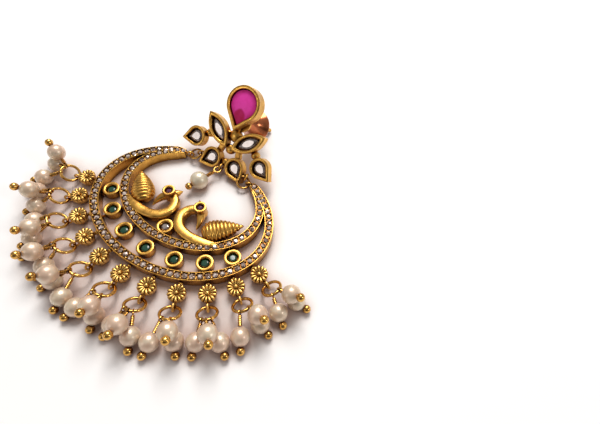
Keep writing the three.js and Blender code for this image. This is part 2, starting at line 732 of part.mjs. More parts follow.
// Crescent: rings, settings, pegs, flowers, peacocks and loops, soldered into one
function crescent() {
  const pieces = [
    ringBand(outerRing, 0, RING_DEPTH),
    ringBand(innerRing, RING_STEP, RING_DEPTH - RING_STEP),
  ];
  const settings = [...greens.map(({ place }) => place), clearPlace];
  settings.forEach((place) => {
    const geometry = roundSetting(SETTING_RADIUS, CUP_RADIUS, 2 * RING_STEP, SETTING_DEPTH);
    pieces.push(placed(geometry, moved(place.x, place.y, 0)));
  });
  const reach = RING_WIDTH / 2 + SETTING_RADIUS;
  greens.forEach(({ angle, place }) => {
    const from = onRing(outerRing, angle).setZ(PEG_HEIGHT);
    const to = onRing(innerRing, angle).setZ(PEG_HEIGHT);
    if (place.distanceTo(from) > reach || place.distanceTo(to) > reach) {
      pieces.push(rod(from, to, PEG_RADIUS, PEG_SIDES));
    }
  });
  fringes.forEach(({ outward, place }) => {
    const frame = aimed(place, outward);
    const from = place.clone().setZ(FLOWER_DEPTH / 2);
    const to = place.clone().addScaledVector(outward, -flowerOffset).setZ(FLOWER_DEPTH / 2);
    const loopFrame = frame.clone().multiply(moved(FLOWER_LOOP_X, 0, FLOWER_LOOP_Z));
    pieces.push(placed(flowerBead(), frame));
    pieces.push(rod(from, to, PEG_RADIUS, PEG_SIDES));
    pieces.push(placed(wireLoop(LOOP_RADIUS, LOOP_WIRE), loopFrame));
  });
  [-1, 1].forEach((mirror, i) => {
    const end = new THREE.Vector3(mirror * TIP_X, TIP_Y, TIP_LOOP_Z);
    end.add(new THREE.Vector3(mirror * tipAlong.x, -tipAlong.y, 0).multiplyScalar(LOOP_RADIUS));
    const edge = wireNear(end, tipLoops[i], links[i].alongFrom, LOOP_RADIUS);
    pieces.push(...peacock(mirror));
    pieces.push(facingLoop(tipLoops[i], links[i].alongFrom, LOOP_RADIUS, LOOP_WIRE));
    pieces.push(rod(end, edge, LOOP_WIRE * 1.4, PEG_SIDES));
  });
  return joined(pieces);
}

// A round stone resting in its cup
function stoneMesh(name, radius, place, height, material) {
  const mesh = meshOf(name, solidOf(roundStone(radius - STONE_GAP, STONE_DEPTH)), material);
  mesh.position.set(place.x, place.y, height - CUP_DEPTH + STONE_GAP);
  return mesh;
}

// Stud: bezels, solder bars, pad, post and loops, soldered into one, in the stud's own frame
const postDirection = new THREE.Vector3(Math.sin(POST_LEAN * DEGREE), 0, -Math.cos(POST_LEAN * DEGREE));
const padBack = -BEZEL_DEPTH - PAD_DEPTH * 0.5;

function stud() {
  const pieces = BEZELS.map((bezel) => solidOf(bezelGeometry(bezel, 0, -BEZEL_DEPTH, frontOf(bezel))));
  const pockets = BEZELS.map((bezel) => {
    const front = frontOf(bezel);
    return solidOf(bezelGeometry(bezel, rimOf(bezel), front - POCKET_DEPTH, front + BEZEL_DEPTH));
  });
  SOLDER_BARS.forEach((bar) => {
    const along = new THREE.Vector3(bar.toX - bar.fromX, bar.toY - bar.fromY, 0);
    const geometry = new THREE.BoxGeometry(along.length(), SOLDER_WIDTH, SOLDER_DEPTH);
    geometry.translate(along.length() / 2, 0, SOLDER_DEPTH / 2);
    pieces.push(placed(geometry, aimed(new THREE.Vector3(bar.fromX, bar.fromY, -BEZEL_DEPTH), along)));
  });
  const pad = turned([[0, 0], [PAD_RADIUS, 0], [PAD_RADIUS, PAD_DEPTH], [0, PAD_DEPTH]], 16);
  pieces.push(placed(pad, moved(POST_PLACE.x, POST_PLACE.y, padBack)));
  const root = new THREE.Vector3(POST_PLACE.x, POST_PLACE.y, padBack + PAD_DEPTH * 0.5);
  const tip = root.clone().addScaledVector(postDirection, POST_LENGTH);
  pieces.push(rod(root, tip, POST_RADIUS, 10));
  [-1, 1].forEach((mirror, i) => {
    const place = new THREE.Vector3(mirror * STUD_LOOP_OUT, -STUD_LOOP_DOWN, -studLoopDepth);
    const facing = links[i].alongTo.clone().transformDirection(studInverse);
    const bezelMiddle = new THREE.Vector3(mirror * BEZELS[3].x, BEZELS[3].y, -studLoopDepth);
    const edge = wireNear(bezelMiddle, place, facing, LOOP_RADIUS);
    pieces.push(facingLoop(place, facing, LOOP_RADIUS, LOOP_WIRE));
    pieces.push(rod(bezelMiddle, edge, LOOP_WIRE * 1.4, PEG_SIDES));
  });
  const centrePlace = moved(0, CENTRE_LOOP_Y, -CENTRE_LOOP_BACK);
  pieces.push(placed(wireLoop(LOOP_RADIUS, LOOP_WIRE).rotateZ(Math.PI / 2), centrePlace));
  return joined(pieces).subtract(joined(pockets));
}

// Centre drop: hangs in the stud's middle loop and lies towards the peacocks
const CENTRE_LOOP_Y = BEZELS[3].y - SOLDER_WIDTH / 2 - LOOP_RADIUS + LOOP_WIRE;
const centreLoop = new THREE.Vector3(0, CENTRE_LOOP_Y, -CENTRE_LOOP_BACK).applyMatrix4(studFrame);

function centreDrop() {
  const apart = 2 * LOOP_RADIUS - 2 * LOOP_WIRE - STONE_GAP;
  const reach = apart + LOOP_RADIUS + CENTRE_COIL_LENGTH + CENTRE_PEARL_RADIUS;
  const fall = Math.asin((CENTRE_PEARL_RADIUS + TABLE_GAP - centreLoop.z) / reach);
  const direction = heading(CENTRE_AIM * DEGREE, fall);
  const start = centreLoop.clone().addScaledVector(direction, apart);
  return loopedDrop(CENTRE_PEARL_RADIUS, CENTRE_COIL_LENGTH).transform(aimed(start, direction).elements);
}

// A fringe: jump ring and three pearl drops in its flower's frame
function fringe(row) {
  const lying = [lyingDrop(-1, row.left * PEARL_RADIUS), lyingDrop(1, row.right * PEARL_RADIUS)];
  const drops = [...lying, topDrop(row, lying)];
  const ring = new THREE.TorusGeometry(JUMP_RADIUS, JUMP_WIRE, WIRE_SIDES, BEAD_SIDES);
  const matrix = new THREE.Matrix4().makeRotationY(-JUMP_TILT).setPosition(JUMP_CENTRE);
  const pieces = drops.map(({ start, direction, extra }) => {
    return eyedDrop(PEARL_RADIUS, PIN_LENGTH + extra).transform(aimed(start, direction).elements);
  });
  return joined([placed(ring, matrix), ...pieces]);
}

// Ear nut: a bell with its rim away from the stud, along Z from its narrow end
function earNut() {
  const bore = POST_RADIUS + NUT_BORE_GAP;
  return solidOf(turned([
    [bore, 0],
    [NUT_NECK_RADIUS, 0],
    [NUT_NECK_RADIUS * 1.15, NUT_LENGTH * 0.25],
    [NUT_RADIUS * 0.62, NUT_LENGTH * 0.6],
    [NUT_RADIUS, NUT_LENGTH * 0.94],
    [NUT_RADIUS - NUT_WALL * 0.5, NUT_LENGTH],
    [NUT_RADIUS * 0.62 - NUT_WALL, NUT_LENGTH * 0.72],
    [NUT_NECK_RADIUS, NUT_LENGTH * 0.5],
    [bore, NUT_LENGTH * 0.5],
    [bore, 0],
  ], SETTING_SIDES + 2));
}

// The scene graph
const earring = new THREE.Group();
const lying = new THREE.Group();
lying.position.set(0, OUTER_HALF_HEIGHT, 0);
earring.add(lying);

lying.add(meshOf('crescent', crescent(), GOLD));
greens.forEach(({ place }, i) => {
  lying.add(stoneMesh(`emerald_${i + 1}`, CUP_RADIUS * CUP_TAPER, place, SETTING_DEPTH, EMERALD));
});
lying.add(stoneMesh('crescent_crystal', CUP_RADIUS * CUP_TAPER, clearPlace, SETTING_DEPTH, CRYSTAL));
['left', 'right'].forEach((side, i) => {
  const place = new THREE.Vector3((2 * i - 1) * EYE_PLACE.x, EYE_PLACE.y, 0);
  lying.add(stoneMesh(`peacock_eye_${side}`, EYE_CUP_RADIUS * CUP_TAPER, place, EYE_HEIGHT, GARNET));
});

const studGroup = new THREE.Group();
studGroup.applyMatrix4(studFrame);
lying.add(studGroup);
studGroup.add(meshOf('stud_setting', stud(), GOLD));
BEZELS.forEach((bezel) => {
  studGroup.add(meshOf(`${bezel.name}_stone`, bezelStone(bezel), bezel.kind === 'ruby' ? RUBY : CRYSTAL));
});

const nut = meshOf('ear_nut', earNut(), BRIGHT_GOLD);
nut.position.set(POST_PLACE.x, POST_PLACE.y, padBack).addScaledVector(postDirection, NUT_BACK_OFF);
nut.quaternion.setFromUnitVectors(UP, postDirection);
studGroup.add(nut);

['left', 'right'].forEach((side, i) => {
  const ring = new THREE.TorusGeometry(LINK_RADIUS, LINK_WIRE, WIRE_SIDES, BEAD_SIDES);
  const mesh = meshOf(`link_ring_${side}`, solidOf(ring), BRIGHT_GOLD);
  mesh.position.copy(links[i].centre);
  mesh.quaternion.setFromUnitVectors(UP, links[i].normal);
  lying.add(mesh);
});
lying.add(meshOf('centre_pearl_drop', centreDrop(), PEARL));

fringes.forEach(({ outward, place }, i) => {
  const group = new THREE.Group();
  group.position.copy(place);
  group.rotation.z = Math.atan2(outward.y, outward.x);
  const row = FRINGE_TABLE[i % FRINGE_TABLE.length];
  group.add(meshOf(`pearl_fringe_${i + 1}`, fringe(row), PEARL));
  lying.add(group);
});

export default earring;
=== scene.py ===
"""Looks of a chandbali earring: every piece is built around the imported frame, in the frame's own place."""

import math
import random
from types import SimpleNamespace

import bmesh
import bpy
from bpy.props import FloatProperty, FloatVectorProperty, IntProperty, PointerProperty
from mathutils import Matrix, Vector


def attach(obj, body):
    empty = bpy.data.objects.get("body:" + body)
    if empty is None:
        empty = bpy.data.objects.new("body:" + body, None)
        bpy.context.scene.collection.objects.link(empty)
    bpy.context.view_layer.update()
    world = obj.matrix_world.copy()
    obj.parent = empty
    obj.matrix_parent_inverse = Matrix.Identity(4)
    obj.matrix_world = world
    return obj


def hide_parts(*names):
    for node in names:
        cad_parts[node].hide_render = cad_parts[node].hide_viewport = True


bl_info = {
    "name": "Chandbali Earring",
    "version": (1, 0, 0),
    "blender": (4, 5, 0),
    "location": "View3D > Sidebar > Earring",
    "description": "Builds a chandbali earring with peacocks, set stones and pearl clusters",
    "category": "Add Mesh",
}

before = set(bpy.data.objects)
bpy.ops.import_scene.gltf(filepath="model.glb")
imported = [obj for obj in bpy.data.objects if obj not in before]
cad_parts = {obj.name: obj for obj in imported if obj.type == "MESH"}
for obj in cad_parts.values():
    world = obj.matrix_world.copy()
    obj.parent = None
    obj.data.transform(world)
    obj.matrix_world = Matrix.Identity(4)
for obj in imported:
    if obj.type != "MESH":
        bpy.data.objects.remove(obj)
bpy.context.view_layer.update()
EARRING = "earring"
NUT = "nut"
MM = 0.001
UP = Vector((0, 0, 1))
DEGREE = math.pi / 180

# Places in the stud's plane, in millimetres, each bezel with the direction of its tip
BEZELS = [
    {"name": "marquise_left", "kind": "marquise", "x": -4.1, "y": 4.75, "aim": 140},
    {"name": "marquise_right", "kind": "marquise", "x": 4.1, "y": 4.75, "aim": 40},
    {"name": "inner_drop_left", "kind": "drop", "x": -3.15, "y": -1.75, "aim": 222},
    {"name": "inner_drop_right", "kind": "drop", "x": 3.15, "y": -1.75, "aim": 318},
    {"name": "outer_drop_left", "kind": "drop", "x": -8.9, "y": 0.95, "aim": 208},
    {"name": "outer_drop_right", "kind": "drop", "x": 8.9, "y": 0.95, "aim": 332},
    {"name": "ruby", "kind": "ruby", "x": 0, "y": 12.2, "aim": 270},
]
INNER_DROP = next(bezel for bezel in BEZELS if bezel["name"] == "inner_drop_right")

# Solder bars on the back of the stud, from one place to another
SOLDER_BARS = [
    {"from": (-4.1, 4.75), "to": (4.1, 4.75)},
    {"from": (0, 4.75), "to": (0, 8.3)},
    {"from": (-4.1, 4.75), "to": (-8.9, 0.95)},
    {"from": (4.1, 4.75), "to": (8.9, 0.95)},
    {"from": (-1.9, 2.9), "to": (-3.15, -1.75)},
    {"from": (1.9, 2.9), "to": (3.15, -1.75)},
    {"from": (-3.15, -1.75), "to": (3.15, -1.75)},
]
POST_PLACE = (0, 8.3)

# Domes of solder at the joints, and their form: share of the radius and height in millimetres
JOINT_DOMES = [
    {"x": 0, "y": 4.9, "radius": 1.5},
    {"x": 0, "y": 1.6, "radius": 1.15},
    {"x": 0, "y": -1.7, "radius": 1.0},
    {"x": -6.4, "y": 2.9, "radius": 0.95},
    {"x": 6.4, "y": 2.9, "radius": 0.95},
]
DOME_FORM = [
    {"size": 0.3, "height": 0},
    {"size": 1, "height": 0},
    {"size": 1, "height": 0.7},
    {"size": 0.93, "height": 1.0},
    {"size": 0.75, "height": 1.25},
    {"size": 0.45, "height": 1.42},
    {"size": 0.1, "height": 1.48},
]

# Round green stones in the band, and the angle from one to the next
GREEN_COUNT = 7
GREEN_STEP = 21

# Right-hand peacock, the left one is its mirror image; height is the middle of the form
NECK = [
    {"x": 12.15, "y": -3.65, "height": 1.35, "radius": 0.85},
    {"x": 8.6, "y": -4.75, "height": 1.5, "radius": 1.15},
    {"x": 5.3, "y": -4.95, "height": 1.6, "radius": 1.15},
    {"x": 2.75, "y": -4.1, "height": 1.65, "radius": 1.15},
    {"x": 1.35, "y": -2.1, "height": 1.7, "radius": 1.1},
    {"x": 1.75, "y": 0.0, "height": 1.75, "radius": 1.0},
    {"x": 3.2, "y": 1.15, "height": 1.8, "radius": 0.95},
    {"x": 4.3, "y": 1.3, "height": 1.8, "radius": 0.85},
]
BEAK = [
    {"x": 4.1, "y": 1.2, "height": 1.85, "radius": 0.95},
    {"x": 5.0, "y": 0.1, "height": 1.95, "radius": 0.85},
    {"x": 5.6, "y": -1.3, "height": 1.75, "radius": 0.55},
    {"x": 5.85, "y": -2.7, "height": 1.4, "radius": 0.12},
]
CREST = [
    {"x": 3.7, "y": 1.5, "height": 1.8, "radius": 0.95},
    {"x": 2.95, "y": 2.4, "height": 1.95, "radius": 0.7},
    {"x": 2.3, "y": 3.2, "height": 2.1, "radius": 0.12},
]
EYE_PLACE = (4.15, 1.25)
TAIL_BASE = (7.6, -3.05)
TAIL_APEX = (13.9, 2.9)

# Ribbed tail: share of its length from base to apex, and share of its full radius
TAIL_FORM = [
    {"along": 0.0, "size": 0.42},
    {"along": 0.14, "size": 0.86},
    {"along": 0.3, "size": 1.0},
    {"along": 0.5, "size": 0.9},
    {"along": 0.75, "size": 0.56},
    {"along": 1.0, "size": 0.06},
]

# Each fringe: extra wire on its two lying drops, as shares of the pearl radius, and how its top drop
# lies: its place round the jump ring, the way it points and the least angle that it rises at
FRINGE_TABLE = [
    {"left": 0.1, "right": 0.45, "around": -42, "aim": -36, "lift": 18},
    {"left": 0.4, "right": 0.0, "around": 0, "aim": 0, "lift": 22},
    {"left": 0.0, "right": 0.35, "around": 36, "aim": 28, "lift": 18},
    {"left": 0.5, "right": 0.1, "around": 0, "aim": 4, "lift": 22},
    {"left": 0.15, "right": 0.5, "around": -12, "aim": -14, "lift": 22},
    {"left": 0.35, "right": 0.0, "around": 34, "aim": 22, "lift": 18},
    {"left": 0.0, "right": 0.4, "around": 0, "aim": 8, "lift": 22},
    {"left": 0.5, "right": 0.15, "around": 20, "aim": 20, "lift": 18},
    {"left": 0.2, "right": 0.5, "around": 0, "aim": 10, "lift": 22},
    {"left": 0.45, "right": 0.05, "around": 30, "aim": 20, "lift": 18},
    {"left": 0.0, "right": 0.3, "around": 20, "aim": 14, "lift": 22},
]

# Place of a lying drop to either side of the middle of its jump ring, in degrees
LYING_SIDE = 28

# Loops, in millimetres: gap over the surface, stems that carry them and how deep they sit in a flower
LOOP_CLEARANCE = 0.1
LOOP_PLAY = 0.1
LOOP_SEAT_SHARE = 0.7
STEM_SHARE = 1.4
STEM_IN_RING = 0.6
LINK_REACH_SHARE = 1.3
CRYSTAL_OVERLAP = 0.1

# Turn of each flower bead from the last, in radians, and how sharp and deep its petals' grooves are
FLOWER_TURN = 0.13
GROOVE_SHARPNESS = 0.32
GROOVE_IN = 0.14
GROOVE_DOWN = 0.42

# Wire and pearls, in millimetres: a drop's hook round the jump ring, its pin and its wrapped coil
SURFACE_GAP = 0.02
HOOK_OUT = 0.16
HOOK_RADIUS = 0.5
PIN_RADIUS = 0.14
PIN_START = 0.62
PIN_IN_PEARL = 0.1
COIL_START = 0.7
COIL_RADIUS = 0.27
COIL_PITCH = 0.3
BARE_PIN = 0.6
CENTRE_PIN_RADIUS = 0.16
CENTRE_COIL_START = 0.5
CENTRE_COIL_RADIUS = 0.3
CENTRE_COIL_WIRE = 0.15
CENTRE_COIL_PITCH = 0.31

# A ball stands out of its pearl by this share of its radius; a drilled hole takes this angle of a pearl
BALL_OUT = 0.85
HOLE_ANGLE = 0.1

# Cuts of the stones from girdle to table: share of the outline and height in millimetres
SMALL_CUT = [(0.9, 0.0), (1.0, 0.14), (0.42, 0.36)]
ROUND_CUT = [(0.9, 0), (1.0, 0.25), (0.8, 0.42), (0.58, 0.5)]
EYE_CUT = [(0.9, 0), (1.0, 0.25), (0.8, 0.45), (0.5, 0.56)]
BEZEL_CUT = [(0.94, 0), (1.0, 0.42), (0.8, 0.74), (0.56, 0.86)]

# Tones of a stone's facets, darkest and lightest: from painted dark reflection to painted glint
FACET_GLINT_TONES = (0.05, 1.0)

# Tones of the small stones' tables, from painted dark reflection to painted glint, and how far the stones
# lean and their prongs wander
SMALL_GLINT_TONES = (0.0, 0.1, 0.3, 0.7, 1.0)
SMALL_LEAN = 0.42
PRONG_WANDER = 0.05
PRONG_OUT = 0.5
PRONG_RADIUS = 0.24

# The ruby: rows of its dome, its height and rise, the slope of the flat facet at its tip, and how softly the
# painted shade on that facet fades in
RUBY_ROWS = 22
RUBY_HEIGHT = 0.78
RUBY_DOME = 0.34
RUBY_TIP_HEIGHT = 0.5
RUBY_TIP_SLOPE = 0.75
RUBY_TIP_BLUR = 0.05

# Plated metal: colour of its raised faces, and in millimetres how far enclosing parts, or the table close
# below, darken it with patina and painted shade
GOLD_FINISHES = {
    "antique_gold": {"light": "gold", "roughness": 0.3, "grain": 0.4, "patina_and_shade_reach": 1.4},
    "petal_gold": {"light": "petal_gold", "roughness": 0.3, "grain": 0.3, "patina_and_shade_reach": 0.45},
    "polished_gold": {"light": "bright_gold", "roughness": 0.16, "grain": 0.05, "patina_and_shade_reach": 2.2},
    "copper_gold": {"light": "copper", "roughness": 0.2, "grain": 0.08, "patina_and_shade_reach": 1.5},
}

# Cut glass: colour of its lightest facets, which are painted glints, and of its darkest, which are painted
# dark reflections over a dark backing in the clear stones, and how much dimmer the dark one is made
STONE_FINISHES = {
    "ruby_glass": {"light": "ruby", "dark": "ruby_tip", "dim": 1.0, "metallic": 0.0, "roughness": 0.35,
                   "coat": 0.0, "gloss": 0.15},
    "emerald_glass": {"light": "emerald", "dark": "emerald", "dim": 0.25, "metallic": 0.0, "roughness": 0.1,
                      "coat": 0.4, "gloss": 0.5},
    "crystal_glass": {"light": "crystal", "dark": "crystal_foil_and_reflection", "dim": 1.0, "metallic": 0.7, "roughness": 0.1,
                      "coat": 1.0, "gloss": 0.5},
    "pave_glass": {"light": "spark", "dark": "pave_foil_and_reflection", "dim": 1.0, "metallic": 0.6, "roughness": 0.1,
                   "coat": 1.0, "gloss": 0.5},
    "garnet_glass": {"light": "garnet", "dark": "garnet", "dim": 0.3, "metallic": 0.0, "roughness": 0.08,
                     "coat": 1.0, "gloss": 0.5},
}

# Coated pearls: body, the colour of their first patches and that of their second
PEARL_FINISHES = {
    "pearl_coat": {"body": "pearl", "first": "blush", "second": "ivory"},
    "centre_pearl_coat": {"body": "ivory", "first": "pearl", "second": "ivory"},
}

# Soft round lights: place and size in metres, power in watts
LIGHTS = [
    {"name": "key_softbox", "place": (-0.22, 0.52, 0.78), "size": 0.5, "power": 7.8},
    {"name": "right_softbox", "place": (0.75, 0.15, 0.45), "size": 0.16, "power": 1.0},
    {"name": "left_softbox", "place": (-0.42, -0.67, 0.46), "size": 0.34, "power": 0.6},
]
LIGHT_TARGET = (0.02, 0.02, 0.0)
LIGHT_TONE = (1.0, 0.98, 0.96)

# Surroundings: the direction that is brightest, the height of the pale walls, colours and strength
BRIGHT_WAY = (-0.15, 0.55, 0.82)
WALL_TOP = (0.26, 0.4)
DARK_TONE = (0.055, 0.04, 0.035)
PALE_TONE = (0.95, 0.91, 0.90)
SURROUNDING_STRENGTH = 0.55

# The table's half width in metres, and in millimetres how far the painted shadow under the earring reaches
TABLE_HALF = 4.0
TABLE_SHADE = 7

# Camera: place and target in metres, roll in degrees, lens and sensor in millimetres
CAMERA_PLACE = (0.03872, -0.01164, 0.06571)
CAMERA_TARGET = (0.02171, 0.02774, 0)
CAMERA_ROLL = 7.04
CAMERA_LENS = 21.0
CAMERA_SENSOR = 36


def length(name, description, millimetres):
    """A length property that is shown in the scene's unit."""
    return FloatProperty(name=name, description=description, default=millimetres * MM, min=0, unit="LENGTH",
                         precision=5)


def colour(name, description, value):
    """A colour property."""
    return FloatVectorProperty(name=name, description=description, default=value, subtype="COLOR", size=3,
                               min=0, max=1)


class CrescentSizes(bpy.types.PropertyGroup):
    """Sizes of the crescent's rings, settings and small stones"""

    half_width: length("Half width", "Half width of the outer ring, on the middle of its band", 20)
    half_height: length("Half height", "Half height of the outer ring, on the middle of its band", 14.4)
    side_band: length("Side band", "Distance between the rings at the sides", 4.1)
    ring_width: length("Ring width", "Width of each ring's band", 1.8)
    ring_depth: length("Ring depth", "Depth of each ring from front to back", 2.6)
    ring_step: length("Ring step", "How far the inner ring stays inside the outer one's depth", 0.06)
    inner_short: length("Inner short", "How much sooner the inner ring ends", 0.9)
    channel_width: length("Channel width", "Width of the channel for the small stones", 1.2)
    channel_depth: length("Channel depth", "Depth of that channel", 0.35)
    setting_radius: length("Setting radius", "Radius of a round setting", 1.75)
    setting_depth: length("Setting depth", "Height of a round setting", 1.9)
    setting_rim: length("Setting rim", "Width of a round setting's rim", 0.55)
    cup_depth: length("Cup depth", "Depth of the cup in a round setting", 0.9)
    band_peg: length("Band peg", "Gap between a setting and a ring at the bottom", 0.55)
    peg_radius: length("Peg radius", "Radius of the pegs", 0.3)
    peg_height: length("Peg height", "Height of the pegs in the band", 0.55)
    pave_radius: length("Small stone radius", "Radius of the small stones of the rings", 0.62)
    pave_pitch: length("Small stone pitch", "Distance from one small stone to the next", 1.42)


class FringeSizes(bpy.types.PropertyGroup):
    """Sizes of the flower beads, jump rings and pearl drops"""

    flower_radius: length("Flower radius", "Radius of a flower bead", 1.75)
    flower_depth: length("Flower depth", "Height of a flower bead's face", 2.5)
    flower_lift: length("Flower lift", "Height of a flower bead's back", 0.25)
    flower_peg: length("Flower peg", "Gap between the ring and a flower bead", 0.65)
    jump_radius: length("Jump ring radius", "Radius of a jump ring on its wire", 1.8)
    jump_wire: length("Jump ring wire", "Radius of a jump ring's wire", 0.3)
    pearl_radius: length("Pearl radius", "Radius of a fringe pearl", 1.75)
    pearl_gap: length("Pearl gap", "Gap between neighbouring pearls", 0.22)
    ball_radius: length("Ball radius", "Radius of the ball on the end of a pin", 0.8)
    pin_length: length("Pin length", "Wire between a jump ring and its pearl", 1.65)
    loop_radius: length("Loop radius", "Radius of a wire loop on a flower or on the stud", 0.8)
    loop_wire: length("Loop wire", "Radius of that loop's wire", 0.22)
    centre_pearl: length("Centre pearl", "Radius of the centre pearl", 2.0)
    centre_coil: length("Centre coil", "Length of the wrapped wire above the centre pearl", 2.2)
    petals: IntProperty(name="Petals", description="Petals of a flower bead", default=13, min=5, max=24)
    reach: FloatProperty(name="Fringe end", description="Angle from the bottom to the last flower",
                         default=76 * DEGREE, subtype="ANGLE")
    jump_rise: FloatProperty(name="Jump ring rise", description="How steeply the jump rings lean up",
                             default=35 * DEGREE, subtype="ANGLE")


class PeacockSizes(bpy.types.PropertyGroup):
    """Sizes of the pair of peacocks"""

    tail_radius: length("Tail radius", "Widest radius of the ribbed tail", 2.5)
    groove: length("Groove", "Depth of the grooves between the ribs", 0.3)
    eye_radius: length("Eye radius", "Radius of the eye's setting", 1.35)
    eye_rim: length("Eye rim", "Width of the eye setting's rim", 0.45)
    eye_foot: length("Eye foot", "Height of the eye setting's foot", 1.0)
    eye_height: length("Eye height", "Height of the eye setting's rim", 3.7)
    flatness: FloatProperty(name="Flatness", description="Height of the tail as a share of its width",
                            default=0.76, min=0.3, max=1)
    ribs: IntProperty(name="Ribs", description="Ribs of a tail", default=11, min=3, max=16)


class StudSizes(bpy.types.PropertyGroup):
    """Sizes of the stud fan, its bezels, post and nut"""

    bezel_depth: length("Bezel depth", "Depth of the bezels", 2.1)
    bezel_rim: length("Bezel rim", "Width of a bezel's rim", 0.62)
    pocket_depth: length("Pocket depth", "Depth of the pocket behind a rim", 1.35)
    ruby_half_width: length("Ruby half width", "Radius of the ruby bezel", 4.05)
    ruby_tip: length("Ruby tip", "Distance from the middle of the ruby bezel to its tip", 6.1)
    ruby_rim: length("Ruby rim", "Width of the ruby bezel's rim", 0.75)
    ruby_rise: length("Ruby rise", "How far the ruby bezel stands above the others", 0.7)
    marquise_half_length: length("Marquise half length", "Half length of a marquise bezel", 4.45)
    marquise_half_width: length("Marquise half width", "Half width of a marquise bezel", 2.05)
    drop_radius: length("Drop radius", "Radius of a drop bezel", 2.35)
    drop_tip: length("Drop tip", "Distance from the middle of a drop bezel to its tip", 3.75)
    solder_width: length("Solder width", "Width of a solder bar", 1.4)
    solder_depth: length("Solder depth", "Depth of a solder bar", 1.0)
    shift: length("Shift", "How far the stud lies to the right of the crescent's middle", 0.6)
    lift: length("Lift", "Height of the stud's middle above the surface", 4.4254)
    back: length("Back", "Distance from the crescent's middle to the stud's middle", 15.0572)
    post_radius: length("Post radius", "Radius of the ear post", 0.5)
    post_length: length("Post length", "Length of the ear post", 12.3)
    pad_radius: length("Pad radius", "Radius of the pad under the post", 2.3)
    pad_depth: length("Pad depth", "Thickness of that pad", 0.7)
    loop_out: length("Loop out", "Distance of the stud's outer loops from its middle", 6.5)
    loop_down: length("Loop down", "How far those loops lie below its middle", 2.4)
    centre_loop_back: length("Centre loop back", "Depth of the middle loop behind the bezels' front", 0.5)
    link_radius: length("Link radius", "Radius of a link ring on its wire", 1.4)
    link_wire: length("Link wire", "Radius of a link ring's wire", 0.25)
    nut_length: length("Nut length", "Length of the ear nut", 5)
    nut_radius: length("Nut radius", "Radius of the ear nut's rim", 3.8)
    nut_neck: length("Nut neck", "Radius of the ear nut's narrow end", 1.4)
    nut_wall: length("Nut wall", "Wall of the ear nut", 0.5)
    nut_gap: length("Nut gap", "Gap between the ear nut's bore and the post", 0.12)
    nut_back_off: length("Nut back-off", "Gap between the pad and the ear nut", 0.5)
    tilt: FloatProperty(name="Tilt", description="Tilt of the stud", default=46 * DEGREE, subtype="ANGLE")
    turn: FloatProperty(name="Turn", description="Turn of the stud", default=2 * DEGREE, subtype="ANGLE")
    post_lean: FloatProperty(name="Post lean", description="Lean of the post", default=8 * DEGREE,
                             subtype="ANGLE")
    centre_aim: FloatProperty(name="Centre aim", description="Way that the centre drop points",
                              default=252 * DEGREE, subtype="ANGLE")


class Finishes(bpy.types.PropertyGroup):
    """Colours of the metal, the pearls, the stones and the table"""

    gold: colour("Gold", "Antique gold on its raised faces", (0.84, 0.47, 0.10))
    # Patina in the gold's recesses, and painted shade where parts lie close over the table or each other
    patina_and_shade: colour("Recess", "Antique gold in its recesses", (0.17, 0.055, 0.012))
    petal_gold: colour("Petal gold", "Flower beads on their raised faces", (0.95, 0.60, 0.17))
    bright_gold: colour("Bright gold", "Wire, balls and rings", (0.82, 0.47, 0.12))
    copper: colour("Copper", "Reddish gold of the nut", (0.52, 0.16, 0.07))
    pearl: colour("Pearl", "Body colour of the pearls", (0.70, 0.54, 0.385))
    blush: colour("Blush", "Pink tone of some pearls", (0.74, 0.51, 0.385))
    ivory: colour("Ivory", "Greenish white of other pearls", (0.78, 0.69, 0.52))
    ruby: colour("Ruby", "Large stone of the stud", (0.95, 0.065, 0.48))
    # The ruby's colour under painted shade, on its tip facet and towards the rim of its dome
    ruby_tip: colour("Ruby tip", "The same stone near its tip", (0.55, 0.005, 0.09))
    emerald: colour("Emerald", "Round stones of the band", (0.004, 0.065, 0.032))
    crystal: colour("Crystal", "Clear stones where they catch the light", (0.52, 0.455, 0.43))
    spark: colour("Spark", "Small stones where they catch the light", (0.97, 0.84, 0.76))
    # Clear stones' dark facets: their dark backing with a painted dark reflection
    crystal_foil_and_reflection: colour("Smoke", "Clear stones where they are dark", (0.08, 0.04, 0.02))
    # Small stones' dark facets: their backing with a painted dark reflection
    pave_foil_and_reflection: colour("Foil", "Small stones where their foil shows", (0.14, 0.06, 0.022))
    garnet: colour("Garnet", "Stones of the peacocks' eyes", (0.10, 0.012, 0.06))
    # Painted shadow on the table close under the earring
    shadow: colour("Shadow", "Same surface close under the earring", (0.54, 0.40, 0.345))
    table: colour("Table", "Surface that the earring lies on", (0.965, 0.958, 0.952))


def in_millimetres(group):
    """The sizes of a property group: lengths in millimetres, and everything else as it is."""
    values = {}
    for prop in group.bl_rna.properties:
        if prop.identifier not in ("rna_type", "name"):
            value = getattr(group, prop.identifier)
            values[prop.identifier] = value / MM if prop.unit == "LENGTH" else value
    return SimpleNamespace(**values)


def sizes_of(context):
    """All the sizes that the pieces are built from."""
    scene = context.scene
    return SimpleNamespace(
        crescent=in_millimetres(scene.crescent_sizes),
        fringe=in_millimetres(scene.fringe_sizes),
        peacock=in_millimetres(scene.peacock_sizes),
        stud=in_millimetres(scene.stud_sizes),
    )


# Mesh forms, in millimetres


